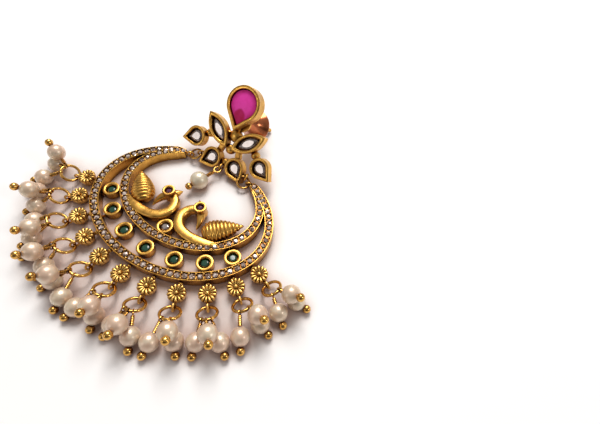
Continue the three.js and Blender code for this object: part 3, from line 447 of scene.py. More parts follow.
class Form:
    """Points and faces of a piece before it becomes an object."""

    def __init__(self):
        self.points = []
        self.faces = []
        self.shades = []

    def face(self, corners, shade=0.5):
        """Adds a face with a tone, which the stones' finishes use for painted glints, painted dark
        reflections and painted shade.
        """
        self.faces.append(tuple(corners))
        self.shades.append(shade)

    def grid(self, rows, wrap=False, cap_start=True, cap_end=True):
        """Joins rows of points into a skin, round each row, and closes its ends."""
        base = len(self.points)
        count = len(rows[0])
        for row in rows:
            self.points.extend(row)
        total = len(rows)
        for i in range(total if wrap else total - 1):
            here = base + i * count
            there = base + ((i + 1) % total) * count
            for j in range(count):
                k = (j + 1) % count
                self.face((here + j, here + k, there + k, there + j))
        if not wrap and cap_start:
            self.face([base + j for j in reversed(range(count))])
        if not wrap and cap_end:
            self.face([base + (total - 1) * count + j for j in range(count)])

    def lathe(self, rows, sides, matrix=Matrix()):
        """A turned form about the frame's Z from rows of radius and height."""
        rings = []
        for radius, height in rows:
            ring = []
            for j in range(sides):
                turn = 2 * math.pi * j / sides
                ring.append(matrix @ Vector((radius * math.cos(turn), radius * math.sin(turn), height)))
            rings.append(ring)
        self.grid(rings)

    def tube(self, points, radii, sides, up, closed=False, squareness=1.0):
        """A round bar through points; up is a direction that the bar never runs along."""
        rows = []
        count = len(points)
        for i, point in enumerate(points):
            before = points[i - 1] if closed or i > 0 else points[0]
            after = points[(i + 1) % count] if closed or i < count - 1 else points[-1]
            along = (after - before).normalized()
            side = up.cross(along).normalized()
            top = along.cross(side)
            row = []
            for j in range(sides):
                turn = 2 * math.pi * j / sides
                across = math.copysign(abs(math.cos(turn)) ** squareness, math.cos(turn))
                height = math.copysign(abs(math.sin(turn)) ** squareness, math.sin(turn))
                row.append(point + radii[i] * (across * side + height * top))
            rows.append(row)
        self.grid(rows, wrap=closed)

    def loop(self, matrix, radius, wire, steps=28, sides=10):
        """A wire ring in the frame's XY plane."""
        points = []
        for i in range(steps):
            turn = 2 * math.pi * i / steps
            points.append(matrix @ Vector((radius * math.cos(turn), radius * math.sin(turn), 0)))
        up = (matrix.to_3x3() @ UP).normalized()
        self.tube(points, [wire] * steps, sides, up, closed=True)

    def rod(self, start, end, radius, sides=12):
        """A straight round bar."""
        along = (end - start).normalized()
        up = UP if abs(along.z) < 0.9 else Vector((1, 0, 0))
        self.tube([start, end], [radius, radius], sides, up)

    def coil(self, start, direction, reach, radius, wire, turns):
        """Wire wrapped round a pin that starts at a place and runs along a direction."""
        direction = direction.normalized()
        frame_here = aimed(start, direction)
        points = []
        steps = max(6, round(turns * 12))
        for i in range(steps + 1):
            turn = 2 * math.pi * turns * i / steps
            at = Vector((reach * i / steps, radius * math.cos(turn), radius * math.sin(turn)))
            points.append(frame_here @ at)
        self.tube(points, [wire] * len(points), 6, direction)

    def ball(self, centre, radius, sides=24, rings=14):
        """A bead."""
        rows = []
        for i in range(1, rings):
            turn = math.pi * i / rings
            rows.append((radius * math.sin(turn), -radius * math.cos(turn)))
        rows = [(rows[0][0] * 0.3, -radius * 0.995)] + rows + [(rows[-1][0] * 0.3, radius * 0.995)]
        self.lathe(rows, sides, Matrix.Translation(centre))


def aimed(point, direction):
    """A frame whose X runs along a direction and whose Z stays as upright as it can."""
    along = direction.normalized()
    side = UP.cross(along).normalized()
    top = along.cross(side)
    matrix = Matrix((along, side, top)).transposed().to_4x4()
    matrix.translation = point
    return matrix


def facing(point, direction):
    """A frame at a point whose Z runs along a direction."""
    matrix = UP.rotation_difference(direction.normalized()).to_matrix().to_4x4()
    matrix.translation = point
    return matrix


def piece(name, form, material, body=EARRING, replaces=(), sharp=38, flat=False):
    """Turns a form into an object in its place, with its finish and the body that it rides on."""
    mesh = bpy.data.meshes.new(name)
    mesh.from_pydata([point * MM for point in form.points], [], form.faces)
    # Each face's tone, which the stones' finishes turn into painted glints, dark reflections and shade
    shade = mesh.attributes.new("facet", "FLOAT", "FACE")
    for i, value in enumerate(form.shades):
        shade.data[i].value = value
    work = bmesh.new()
    work.from_mesh(mesh)
    bmesh.ops.recalc_face_normals(work, faces=work.faces)
    for face in work.faces:
        face.smooth = not flat
    work.to_mesh(mesh)
    work.free()
    if not flat:
        mesh.set_sharp_from_angle(angle=sharp * DEGREE)
    mesh.materials.append(material)
    obj = bpy.data.objects.new(name, mesh)
    bpy.context.scene.collection.objects.link(obj)
    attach(obj, body)
    if replaces:
        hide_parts(*replaces)
    return obj


# Layout of the earring, as its frame has it


class Layout:
    """Places that the pieces share, in millimetres, worked out from the sizes."""

    def __init__(self, size):
        c, f, s = size.crescent, size.fringe, size.stud
        self.size = size
        self.shift = Vector((0, c.half_height, 0))
        self.tip_reach = f.loop_radius + f.loop_wire
        self.tip_x = s.loop_out + LINK_REACH_SHARE * s.link_radius + self.tip_reach
        self.tip_y = c.half_height * math.sqrt(1 - (self.tip_x / c.half_width) ** 2)
        band = c.ring_width + 2 * c.setting_radius + 2 * c.band_peg
        inner_half_width = c.half_width - c.side_band
        rise = math.sqrt(1 - (self.tip_x / inner_half_width) ** 2)
        inner_half_height = (self.tip_y + c.half_height - band) / (1 + rise)
        inner_centre = band - c.half_height + inner_half_height
        self.outer = (c.half_width, c.half_height, 0)
        self.inner = (inner_half_width, inner_half_height, inner_centre)
        self.middle = tuple((a + b) / 2 for a, b in zip(self.outer, self.inner))
        self.crystal_place = Vector((0, inner_centre - inner_half_height + c.ring_width / 2
                                     + c.setting_radius - CRYSTAL_OVERLAP, 0)) + self.shift
        self.flower_offset = c.ring_width / 2 + f.flower_peg + f.flower_radius
        self.flower_loop = Vector((f.flower_radius + f.loop_radius * LOOP_SEAT_SHARE, 0,
                                   self.tip_reach + LOOP_CLEARANCE))
        self.jump_centre = self.flower_loop + f.jump_radius * Vector((math.cos(f.jump_rise), 0,
                                                                      math.sin(f.jump_rise)))
        self.fringe_angles = self.spread_fringes()
        self.set_links()

    def on_ring(self, ring, angle):
        """A place on the middle of a ring's band, at the height of the surface."""
        return Vector((ring[0] * math.cos(angle), ring[2] + ring[1] * math.sin(angle), 0)) + self.shift

    def outward(self, ring, angle):
        """The direction that faces out of a ring there."""
        return Vector((ring[1] * math.cos(angle), ring[0] * math.sin(angle), 0)).normalized()

    def on_jump_ring(self, angle):
        """A place on a jump ring in its flower's frame, and the way that the wire runs there."""
        rise, radius = self.size.fringe.jump_rise, self.size.fringe.jump_radius
        out = radius * math.cos(angle)
        offset = Vector((out * math.cos(rise), radius * math.sin(angle), out * math.sin(rise)))
        tangent = Vector((-math.sin(angle) * math.cos(rise), math.cos(angle),
                          -math.sin(angle) * math.sin(rise)))
        return self.jump_centre + offset, tangent

    def lying_drop(self, side, extra):
        """A lying drop in its flower's frame: its pearl rests on the surface beside the other one."""
        f = self.size.fringe
        start, tangent = self.on_jump_ring(side * LYING_SIDE * DEGREE)
        hang = f.pin_length + f.pearl_radius
        rise = math.asin((f.pearl_radius + SURFACE_GAP - start.z) / (hang + extra))
        across = f.pearl_radius + f.pearl_gap / 2 - abs(start.y)
        aim = side * math.asin(across / (hang * math.cos(rise)))
        direction = heading(aim, rise)
        return {"start": start, "tangent": tangent, "direction": direction, "extra": extra,
                "pearl": start + direction * (hang + extra)}

    def top_drop(self, row, lying):
        """The top drop rises until its pearl clears the two lying ones."""
        f = self.size.fringe
        start, tangent = self.on_jump_ring(row["around"] * DEGREE)
        hang = f.pin_length + f.pearl_radius
        rise = row["lift"] * DEGREE
        while True:
            direction = heading(row["aim"] * DEGREE, rise)
            pearl = start + direction * hang
            nearest = min((drop["pearl"] - pearl).length for drop in lying)
            if nearest >= 2 * f.pearl_radius + f.pearl_gap / 2 or rise >= math.pi / 2:
                break
            rise += DEGREE
        return {"start": start, "tangent": tangent, "direction": direction, "extra": 0, "pearl": pearl}

    def drops(self, row):
        """The three drops of a fringe in its flower's frame."""
        radius = self.size.fringe.pearl_radius
        lying = [self.lying_drop(-1, row["left"] * radius), self.lying_drop(1, row["right"] * radius)]
        return lying + [self.top_drop(row, lying)]

    def spread_fringes(self):
        """Angles of the flowers round the outer ring, evenly spaced along the row of pearls."""
        f = self.size.fringe
        samples = 400
        row_out = self.flower_offset + self.lying_drop(1, 0)["pearl"].x
        angles = [-math.pi / 2 - f.reach + 2 * f.reach * i / samples for i in range(samples + 1)]
        places = [self.on_ring(self.outer, angle) + self.outward(self.outer, angle) * row_out
                  for angle in angles]
        travelled = travel(places)
        pitches = max(2, math.floor(travelled[-1] / (4 * f.pearl_radius + 2 * f.pearl_gap)))
        found = []
        for k in range(pitches + 1):
            wanted = travelled[-1] * k / pitches
            i = next((j for j, reach in enumerate(travelled) if reach >= wanted), samples)
            i = min(samples, max(1, i))
            share = (wanted - travelled[i - 1]) / (travelled[i] - travelled[i - 1])
            found.append(angles[i - 1] + share * (angles[i] - angles[i - 1]))
        return found

    def band_places(self):
        """Places of the green stones in the band."""
        return [self.on_ring(self.middle, angle) for angle in self.band_angles()]

    def band_angles(self):
        """Angles of the green stones, the middle one at the bottom."""
        return [(-90 + (i - GREEN_COUNT // 2) * GREEN_STEP) * DEGREE for i in range(GREEN_COUNT)]

    def flower_frame(self, angle):
        """A flower bead's frame: its X points away from the ring."""
        outward = self.outward(self.outer, angle)
        place = self.on_ring(self.outer, angle) + outward * self.flower_offset
        return aimed(place, outward)

    def set_links(self):
        """The stud's frame, the loops of the tips and the stud, and the link ring between each two."""
        c, f, s = self.size.crescent, self.size.fringe, self.size.stud
        angle = math.pi - math.acos(self.tip_x / c.half_width)
        along = Vector((c.half_width * math.sin(angle), -c.half_height * math.cos(angle), 0)).normalized()
        self.tip_along = along
        self.stud_frame = (Matrix.Translation(Vector((s.shift, s.back, s.lift)) + self.shift)
                           @ Matrix.Rotation(-s.turn, 4, "Z") @ Matrix.Rotation(s.tilt, 4, "X"))
        self.links = []
        for mirror in (-1, 1):
            tip = Vector((mirror * (self.tip_x - along.x * self.tip_reach),
                          self.tip_y + along.y * self.tip_reach, c.ring_depth / 2)) + self.shift
            stud = self.stud_frame @ Vector((mirror * s.loop_out, -s.loop_down, -s.bezel_depth / 2))
            chord = stud - tip
            across = Vector((chord.y, -chord.x, 0)).normalized()
            if across.y > 0:
                across = -across
            away = math.sqrt(max(0, s.link_radius ** 2 - (chord.length / 2) ** 2))
            centre = (tip + stud) / 2 + across * away
            normal = chord.cross(across).normalized()
            self.links.append({
                "mirror": mirror, "tip": tip, "stud": stud, "centre": centre, "normal": normal,
                "tip_facing": normal.cross(tip - centre).normalized(),
                "stud_facing": normal.cross(stud - centre).normalized(),
            })
        loop_y = INNER_DROP["y"] - s.solder_width / 2 - f.loop_radius + f.loop_wire
        self.centre_loop = Vector((0, loop_y, -s.centre_loop_back))
        lean = Vector((math.sin(s.post_lean), 0, -math.cos(s.post_lean)))
        self.post_direction = lean
        self.pad_back = -s.bezel_depth - s.pad_depth / 2


def travel(places):
    """How far along a row of places each of them lies."""
    travelled = [0.0]
    for before, after in zip(places, places[1:]):
        travelled.append(travelled[-1] + (after - before).length)
    return travelled


def heading(aim, rise):
    """A direction from its angle round the upright and its angle above the surface."""
    return Vector((math.cos(rise) * math.cos(aim), math.cos(rise) * math.sin(aim), math.sin(rise)))


def spline(table, keys, steps):
    """Points of a smooth line through a table's rows."""
    rows = [Vector([row[key] for key in keys]) if len(keys) > 1 else Vector((row[keys[0]], 0, 0))
            for row in table]
    found = []
    spans = len(rows) - 1
    for i in range(steps + 1):
        at = spans * i / steps
        k = min(spans - 1, int(at))
        t = at - k
        p1, p2 = rows[k], rows[k + 1]
        p0 = rows[k - 1] if k > 0 else p1 * 2 - p2
        p3 = rows[k + 2] if k + 2 <= spans else p2 * 2 - p1
        found.append(0.5 * (2 * p1 + (p2 - p0) * t + (2 * p0 - 5 * p1 + 4 * p2 - p3) * t * t
                            + (3 * p1 - p0 - 3 * p2 + p3) * t ** 3))
    return found


def tapered(form, table, mirror, shift, steps, sides, squareness):
    """A bar through a table of places, each with its height and radius."""
    points = [Vector((mirror * p.x, p.y, p.z)) + shift for p in spline(table, ("x", "y", "height"), steps)]
    radii = [max(0.05, p.x) for p in spline(table, ("radius",), steps)]
    form.tube(points, radii, sides, UP, squareness=squareness)


# Finishes


def fresh_material(name, base, roughness, metallic):
    """A material with its nodes, its links and its shader."""
    material = bpy.data.materials.new(name)
    material.use_nodes = True
    nodes = material.node_tree.nodes
    shader = nodes["Principled BSDF"]
    shader.inputs["Base Color"].default_value = (*base, 1)
    shader.inputs["Roughness"].default_value = roughness
    shader.inputs["Metallic"].default_value = metallic
    return material, nodes, material.node_tree.links, shader


def noise(nodes, links, scale, detail=3.0):
    """A cloudy value that stays with the object."""
    place = nodes.new("ShaderNodeTexCoord")
    texture = nodes.new("ShaderNodeTexNoise")
    texture.inputs["Scale"].default_value = scale
    texture.inputs["Detail"].default_value = detail
    links.new(place.outputs["Object"], texture.inputs["Vector"])
    return texture.outputs["Fac"]


def spread(nodes, links, value, low, high, new_low, new_high):
    """A value moved from one range to another."""
    ranged = nodes.new("ShaderNodeMapRange")
    ranged.inputs["From Min"].default_value = low
    ranged.inputs["From Max"].default_value = high
    ranged.inputs["To Min"].default_value = new_low
    ranged.inputs["To Max"].default_value = new_high
    links.new(value, ranged.inputs["Value"])
    return ranged.outputs["Result"]


def blended(nodes, links, share, first, second):
    """A colour between two, each a colour or another node's output."""
    mix = nodes.new("ShaderNodeMix")
    mix.data_type = "RGBA"
    links.new(share, mix.inputs["Factor"])
    for socket, value in (("A", first), ("B", second)):
        target = next(i for i in mix.inputs if i.name == socket and i.type == "RGBA")
        if isinstance(value, bpy.types.NodeSocket):
            links.new(value, target)
        else:
            target.default_value = (*value, 1)
    return next(o for o in mix.outputs if o.type == "RGBA")


def grained(nodes, links, shader, scale, strength, depth):
    """A fine grain on a finish, its depth in millimetres."""
    bump = nodes.new("ShaderNodeBump")
    bump.inputs["Strength"].default_value = strength
    bump.inputs["Distance"].default_value = depth * MM
    links.new(noise(nodes, links, scale, 4), bump.inputs["Height"])
    links.new(bump.outputs["Normal"], shader.inputs["Normal"])


def gold_finish(name, tone, row):
    """Plated metal: lighter on its raised faces, and dark where it is enclosed or lies close over the table,
    with patina in its hollows and painted shade under and between parts.
    """
    light, roughness = getattr(tone, row["light"]), row["roughness"]
    material, nodes, links, shader = fresh_material(name, light, roughness, 1.0)
    # Patina and painted shade: the metal turns to the darker colour where the table or other parts crowd
    # round it
    enclosed = nodes.new("ShaderNodeAmbientOcclusion")
    enclosed.inputs["Distance"].default_value = row["patina_and_shade_reach"] * MM
    enclosed.samples = 8
    open_share = spread(nodes, links, enclosed.outputs["AO"], 0.42, 0.9, 0.0, 1.0)
    worn = spread(nodes, links, noise(nodes, links, 460), 0.35, 0.65, 0.6, 1.0)
    share = nodes.new("ShaderNodeMath")
    share.operation = "MULTIPLY"
    links.new(open_share, share.inputs[0])
    links.new(worn, share.inputs[1])
    metal = blended(nodes, links, share.outputs["Value"], tone.patina_and_shade, light)
    links.new(metal, shader.inputs["Base Color"])
    rough = spread(nodes, links, noise(nodes, links, 900), 0.3, 0.7, roughness * 0.8, roughness * 1.3)
    links.new(rough, shader.inputs["Roughness"])
    grained(nodes, links, shader, 2600, row["grain"], 0.05)
    return material


def pearl_finish(name, tone, row):
    """Coated glass pearl: cloudy patches of two other tones under a clear gloss."""
    body, first, second = (getattr(tone, row[key]) for key in ("body", "first", "second"))
    material, nodes, links, shader = fresh_material(name, body, 0.3, 0.4)
    wide = spread(nodes, links, noise(nodes, links, 130, 1), 0.42, 0.62, 0.0, 0.6)
    clouded = blended(nodes, links, wide, body, first)
    narrow = spread(nodes, links, noise(nodes, links, 420, 2), 0.48, 0.66, 0.0, 0.7)
    clouded = blended(nodes, links, narrow, clouded, second)
    links.new(clouded, shader.inputs["Base Color"])
    rough = spread(nodes, links, noise(nodes, links, 700, 2), 0.3, 0.7, 0.3, 0.44)
    links.new(rough, shader.inputs["Roughness"])
    shader.inputs["Coat Weight"].default_value = 0.6
    shader.inputs["Coat Roughness"].default_value = 0.22
    shader.inputs["Subsurface Weight"].default_value = 0.12
    shader.inputs["Subsurface Radius"].default_value = (1.0, 0.7, 0.5)
    shader.inputs["Subsurface Scale"].default_value = 0.6 * MM
    grained(nodes, links, shader, 620, 0.4, 0.14)
    return material


def stone_finish(name, tone, row):
    """Foil-backed cut stone: each facet has a painted tone of its own, between a painted dark reflection and
    a painted glint.
    """
    light = getattr(tone, row["light"])
    dark = [value * row["dim"] for value in getattr(tone, row["dark"])]
    material, nodes, links, shader = fresh_material(name, light, row["roughness"], row["metallic"])
    # Painted glints and dark reflections: each facet's tone, with a little cloud, blends the dark colour into
    # the light one
    facet = nodes.new("ShaderNodeAttribute")
    facet.attribute_name = "facet"
    cloud = spread(nodes, links, noise(nodes, links, 900, 3), 0.3, 0.7, -0.12, 0.12)
    total = nodes.new("ShaderNodeMath")
    total.operation = "ADD"
    total.use_clamp = True
    links.new(facet.outputs["Fac"], total.inputs[0])
    links.new(cloud, total.inputs[1])
    links.new(blended(nodes, links, total.outputs["Value"], dark, light), shader.inputs["Base Color"])
    shader.inputs["Specular IOR Level"].default_value = row["gloss"]
    shader.inputs["Coat Weight"].default_value = row["coat"]
    shader.inputs["Coat Roughness"].default_value = 0.03
    return material


def finish(name):
    """The material of one finish, made the first time that it is asked for."""
    if name in bpy.data.materials:
        return bpy.data.materials[name]
    tone = bpy.context.scene.finishes
    for table, maker in ((GOLD_FINISHES, gold_finish), (PEARL_FINISHES, pearl_finish),
                         (STONE_FINISHES, stone_finish)):
        if name in table:
            return maker(name, tone, table[name])
    raise KeyError(name)


# Forms of the pieces


def add_band(form, layout, ring, end_x, low, high, steps=150):
    """A ring from tip to tip with a channel between two raised edges."""
    c = layout.size.crescent
    half, inner = c.ring_width / 2, c.channel_width / 2 + 0.1
    edge = 0.07
    top = high - 0.1
    floor = high - c.channel_depth - 0.12
    # Rows of place across the band and height, once round its section
    section = [
        (-half, low + edge), (-half + edge, low), (half - edge, low), (half, low + edge),
        (half, top - edge), (half - edge, top), (inner + edge, top), (inner, top - edge),
        (inner - 0.02, floor), (-inner + 0.02, floor), (-inner, top - edge), (-inner - edge, top),
        (-half + edge, top), (-half, top - edge),
    ]
    reach = math.pi / 2 + math.acos(end_x / ring[0])
    middle = (low + high) / 2
    rows = []
    for i in range(steps + 1):
        angle = -math.pi / 2 + (2 * i / steps - 1) * reach
        place, out = layout.on_ring(ring, angle), layout.outward(ring, angle)
        size = min(1, 0.72 + 0.14 * min(i, steps - i))
        rows.append([place + out * across * size + UP * (middle + (height - middle) * size)
                     for across, height in section])
    form.grid(rows)


def setting_rows(radius, rim, low, high, depth):
    """A round setting with a soft rim and a deep cup, as rows of radius and height."""
    cup = radius - rim - 0.12
    return [
        (radius * 0.3, low), (radius - 0.14, low), (radius - 0.03, low + 0.1), (radius - 0.05, high - 0.3),
        (radius, high - 0.14), (radius - 0.03, high - 0.04), (radius - 0.12, high), (cup + 0.2, high + 0.01),
        (cup + 0.06, high - 0.06), (cup, high - 0.18), (cup * 0.9, high - depth * 0.6),
        (cup * 0.82, high - depth), (cup * 0.2, high - depth),
    ]


def cut_stone(form, matrix, outline, rows, chance, table_shade=0.85):
    """A faceted stone over an outline: rows of (share of the outline, height) from girdle to table."""
    base = len(form.points)
    count = len(outline)
    for k, (share, height) in enumerate(rows):
        for j in range(count):
            here = outline[j]
            if k % 2 == 1:
                here = (outline[j] + outline[(j + 1) % count]) / 2
            form.points.append(matrix @ Vector((here.x * share, here.y * share, height)))
    for k in range(len(rows) - 1):
        for j in range(count):
            nxt = (j + 1) % count
            a, b = base + k * count + j, base + k * count + nxt
            c, d = base + (k + 1) * count + j, base + (k + 1) * count + nxt
            halves = ((a, b, c), (b, d, c)) if k % 2 == 0 else ((a, d, c), (a, b, d))
            # Each facet gets a random tone between painted dark reflection and painted glint
            for corners in halves:
                form.face(corners, chance.uniform(*FACET_GLINT_TONES))
    # The girdle gets a fixed dark tone, and the table its own tone between painted dark reflection and
    # painted glint
    form.face([base + j for j in reversed(range(count))], 0.3)
    form.face([base + (len(rows) - 1) * count + j for j in range(count)], table_shade)


def circle(radius, count, turn=0.0):
    """Outline of a round stone."""
    return [Vector((radius * math.cos(turn + 2 * math.pi * j / count),
                    radius * math.sin(turn + 2 * math.pi * j / count))) for j in range(count)]


def pear(radius, tip, aim, arc_steps, side_steps):
    """Outline of a drop shape about the middle of its round end."""
    half = math.acos(radius / tip)
    end = Vector((tip * math.cos(aim), tip * math.sin(aim)))
    arc = []
    for i in range(arc_steps + 1):
        turn = aim + half + (2 * math.pi - 2 * half) * i / arc_steps
        arc.append(Vector((radius * math.cos(turn), radius * math.sin(turn))))
    first = [end.lerp(arc[0], i / side_steps) for i in range(side_steps)]
    last = [arc[-1].lerp(end, i / side_steps) for i in range(1, side_steps)]
    return first + arc + last


def marquise(half_length, half_width, aim, steps):
    """Outline of a leaf shape with two tips."""
    radius = (half_length ** 2 + half_width ** 2) / (2 * half_width)
    half = math.asin(half_length / radius)
    away = radius - half_width
    side = Vector((-math.sin(aim), math.cos(aim)))
    points = []
    for way in (1, -1):
        for i in range(steps):
            turn = aim + way * math.pi / 2 - half + 2 * half * i / steps
            points.append(Vector((radius * math.cos(turn), radius * math.sin(turn))) - side * away * way)
    return points


def bezel_outline(bezel, size, inset, fine):
    """The outline of a bezel, drawn in by an inset."""
    s = size.stud
    aim = bezel["aim"] * DEGREE
    if bezel["kind"] == "marquise":
        return marquise(s.marquise_half_length - 1.9 * inset, s.marquise_half_width - inset, aim,
                        28 if fine else 6)
    radius, tip = (s.ruby_half_width, s.ruby_tip) if bezel["kind"] == "ruby" else (s.drop_radius, s.drop_tip)
    return pear(radius - inset, tip - 1.45 * inset, aim, 44 if fine else 9, 10 if fine else 2)


def add_bezel(form, bezel, size, matrix):
    """A deep bezel with a thick rounded rim and a pocket for its stone."""
    s = size.stud
    rim = s.ruby_rim if bezel["kind"] == "ruby" else s.bezel_rim
    front = s.ruby_rise if bezel["kind"] == "ruby" else 0
    # Rows of inset and height, from the back over the rim into the pocket
    profile = [
        (0.12, -s.bezel_depth), (0.0, -s.bezel_depth + 0.12), (0.05, front - 0.75), (0.04, front - 0.4),
        (-0.03, front - 0.2), (0.0, front - 0.07), (0.1, front), (rim * 0.5, front + 0.03),
        (rim - 0.1, front - 0.01), (rim - 0.02, front - 0.1), (rim, front - 0.25),
        (rim + 0.04, front - s.pocket_depth),
    ]
    rows = []
    for inset, height in profile:
        outline = bezel_outline(bezel, size, inset, True)
        rows.append([matrix @ Vector((p.x + bezel["x"], p.y + bezel["y"], height)) for p in outline])
    form.grid(rows)


def add_bar(form, matrix, start, end, width, low, depth):
    """A flat bar between two places of the stud's plane."""
    start, end = Vector(start), Vector(end)
    along = (end - start).normalized()
    side = Vector((-along.y, along.x)) * width / 2
    soft = 0.18
    rows = []
    for place in (start, end):
        row = []
        for across, height in ((-1, 0), (1, 0), (1, depth - soft), (1 - 2 * soft / width, depth),
                               (-1 + 2 * soft / width, depth), (-1, depth - soft)):
            at = place + side * across
            row.append(matrix @ Vector((at.x, at.y, low + height)))
        rows.append(row)
    form.grid(rows)


def add_flower(form, size, matrix):
    """A flower bead: grooved petals round a small boss, on ribbed sides."""
    f = size.fringe
    radius, depth = f.flower_radius, f.flower_depth
    # Rows of radius, height and share of the full groove, from the back to the boss
    rows = [
        (0.4, f.flower_lift, 0), (radius * 0.66, f.flower_lift, 0), (radius * 0.82, f.flower_lift + 0.3, 0.3),
        (radius * 0.93, depth * 0.5, 0.6), (radius * 0.985, depth * 0.72, 0.9), (radius, depth * 0.84, 1),
        (radius * 0.98, depth * 0.92, 1), (radius * 0.92, depth * 0.97, 1), (radius * 0.8, depth * 0.985, 1),
        (radius * 0.6, depth * 0.97, 1), (radius * 0.42, depth * 0.94, 1), (radius * 0.3, depth * 0.9, 0.8),
        (radius * 0.24, depth * 0.88, 0), (radius * 0.22, depth * 0.97, 0), (radius * 0.17, depth * 1.03, 0),
        (radius * 0.07, depth * 1.06, 0),
    ]
    sides = f.petals * 8
    rings = []
    for row_radius, height, share in rows:
        ring = []
        for j in range(sides):
            turn = 2 * math.pi * j / sides
            groove = share * (1 - abs(math.sin(f.petals * turn / 2)) ** GROOVE_SHARPNESS)
            here = row_radius * (1 - GROOVE_IN * groove * min(1, row_radius / radius))
            sunk = height - GROOVE_DOWN * groove * min(1, 1.6 * row_radius / radius)
            ring.append(matrix @ Vector((here * math.cos(turn), here * math.sin(turn), sunk)))
        rings.append(ring)
    form.grid(rings)


def add_tail(form, size, mirror, shift):
    """A ribbed beehive tail, flattened, lying beside the neck."""
    p = size.peacock
    base = Vector((mirror * TAIL_BASE[0], TAIL_BASE[1], 0)) + shift
    apex = Vector((mirror * TAIL_APEX[0], TAIL_APEX[1], 0)) + shift
    reach = (apex - base).length
    height = p.tail_radius * p.flatness + 0.02
    matrix = aimed(base + UP * height, apex - base)
    steps = p.ribs * 8
    form_line = spline(TAIL_FORM, ("along", "size", "size"), steps)
    rows = []
    for at in form_line:
        ridge = abs(math.sin(math.pi * p.ribs * at.x)) ** 0.6
        radius = max(0.04, p.tail_radius * at.y - p.groove * (1 - ridge) * min(1, 3 * at.y))
        row = []
        for j in range(36):
            turn = 2 * math.pi * j / 36
            row.append(matrix @ Vector((at.x * reach, radius * math.cos(turn),
                                        radius * math.sin(turn) * p.flatness)))
        rows.append(row)
    form.grid(rows)


def add_drop(wires, pearls, drop, size, matrix):
    """A pearl on a wrapped pin with a wire loop round the jump ring and a ball on its end."""
    f = size.fringe
    start, direction = drop["start"], drop["direction"]
    normal = (drop["tangent"] - direction * drop["tangent"].dot(direction)).normalized()
    spin = matrix.to_3x3()
    hook = start + direction * HOOK_OUT
    wires.loop(facing(matrix @ hook, spin @ normal), HOOK_RADIUS, PIN_RADIUS, 20, 8)
    pin = f.pin_length + drop["extra"]
    wires.rod(matrix @ (start + direction * PIN_START),
              matrix @ (start + direction * (pin + PIN_IN_PEARL)), PIN_RADIUS, 8)
    wires.coil(matrix @ (start + direction * COIL_START), spin @ direction, pin - PIN_START,
               COIL_RADIUS, PIN_RADIUS, (pin - BARE_PIN) / COIL_PITCH)
    pearl = matrix @ drop["pearl"]
    add_pearl(pearls, pearl, spin @ direction, f.pearl_radius)
    ball = pearl + (spin @ direction) * (f.pearl_radius + f.ball_radius * BALL_OUT)
    wires.ball(ball, f.ball_radius, 22, 14)


def add_pearl(form, centre, direction, radius):
    """A pearl that dips in round its drilled hole at both ends."""
    rows = []
    rings = 18
    for i in range(rings + 1):
        turn = HOLE_ANGLE + (math.pi - 2 * HOLE_ANGLE) * i / rings
        rows.append((radius * math.sin(turn), -radius * math.cos(turn)))
    rows = [(radius * 0.05, -radius * 0.93)] + rows + [(radius * 0.05, radius * 0.93)]
    form.lathe(rows, 30, facing(centre, direction))


# Operators, one for each piece or group of like pieces


class BuildRings(bpy.types.Operator):
    """Builds the crescent's two rings, their pegs and the loops at the tips"""

    bl_idname = "earring.build_rings"
    bl_label = "Rings"

    def execute(self, context):
        size = sizes_of(context)
        layout = Layout(size)
        c, f = size.crescent, size.fringe
        form = Form()
        add_band(form, layout, layout.outer, layout.tip_x, 0, c.ring_depth)
        add_band(form, layout, layout.inner, layout.tip_x + c.inner_short, c.ring_step,
                 c.ring_depth - c.ring_step)
        for angle in layout.band_angles():
            outer = layout.on_ring(layout.outer, angle) + UP * c.peg_height
            inner = layout.on_ring(layout.inner, angle) + UP * c.peg_height
            form.rod(outer, inner, c.peg_radius)
        for link in layout.links:
            along = Vector((link["mirror"] * layout.tip_along.x, -layout.tip_along.y, 0))
            end = Vector((link["mirror"] * layout.tip_x, layout.tip_y, c.ring_depth / 2)) + layout.shift
            to_ring = end - link["tip"]
            to_ring -= link["tip_facing"] * to_ring.dot(link["tip_facing"])
            edge = link["tip"] + to_ring.normalized() * f.loop_radius
            form.loop(facing(link["tip"], link["tip_facing"]), f.loop_radius, f.loop_wire)
            form.rod(end + along * STEM_IN_RING, edge, f.loop_wire * STEM_SHARE)
        piece("crescent_rings", form, finish("antique_gold"), replaces=["crescent"])
        return {"FINISHED"}


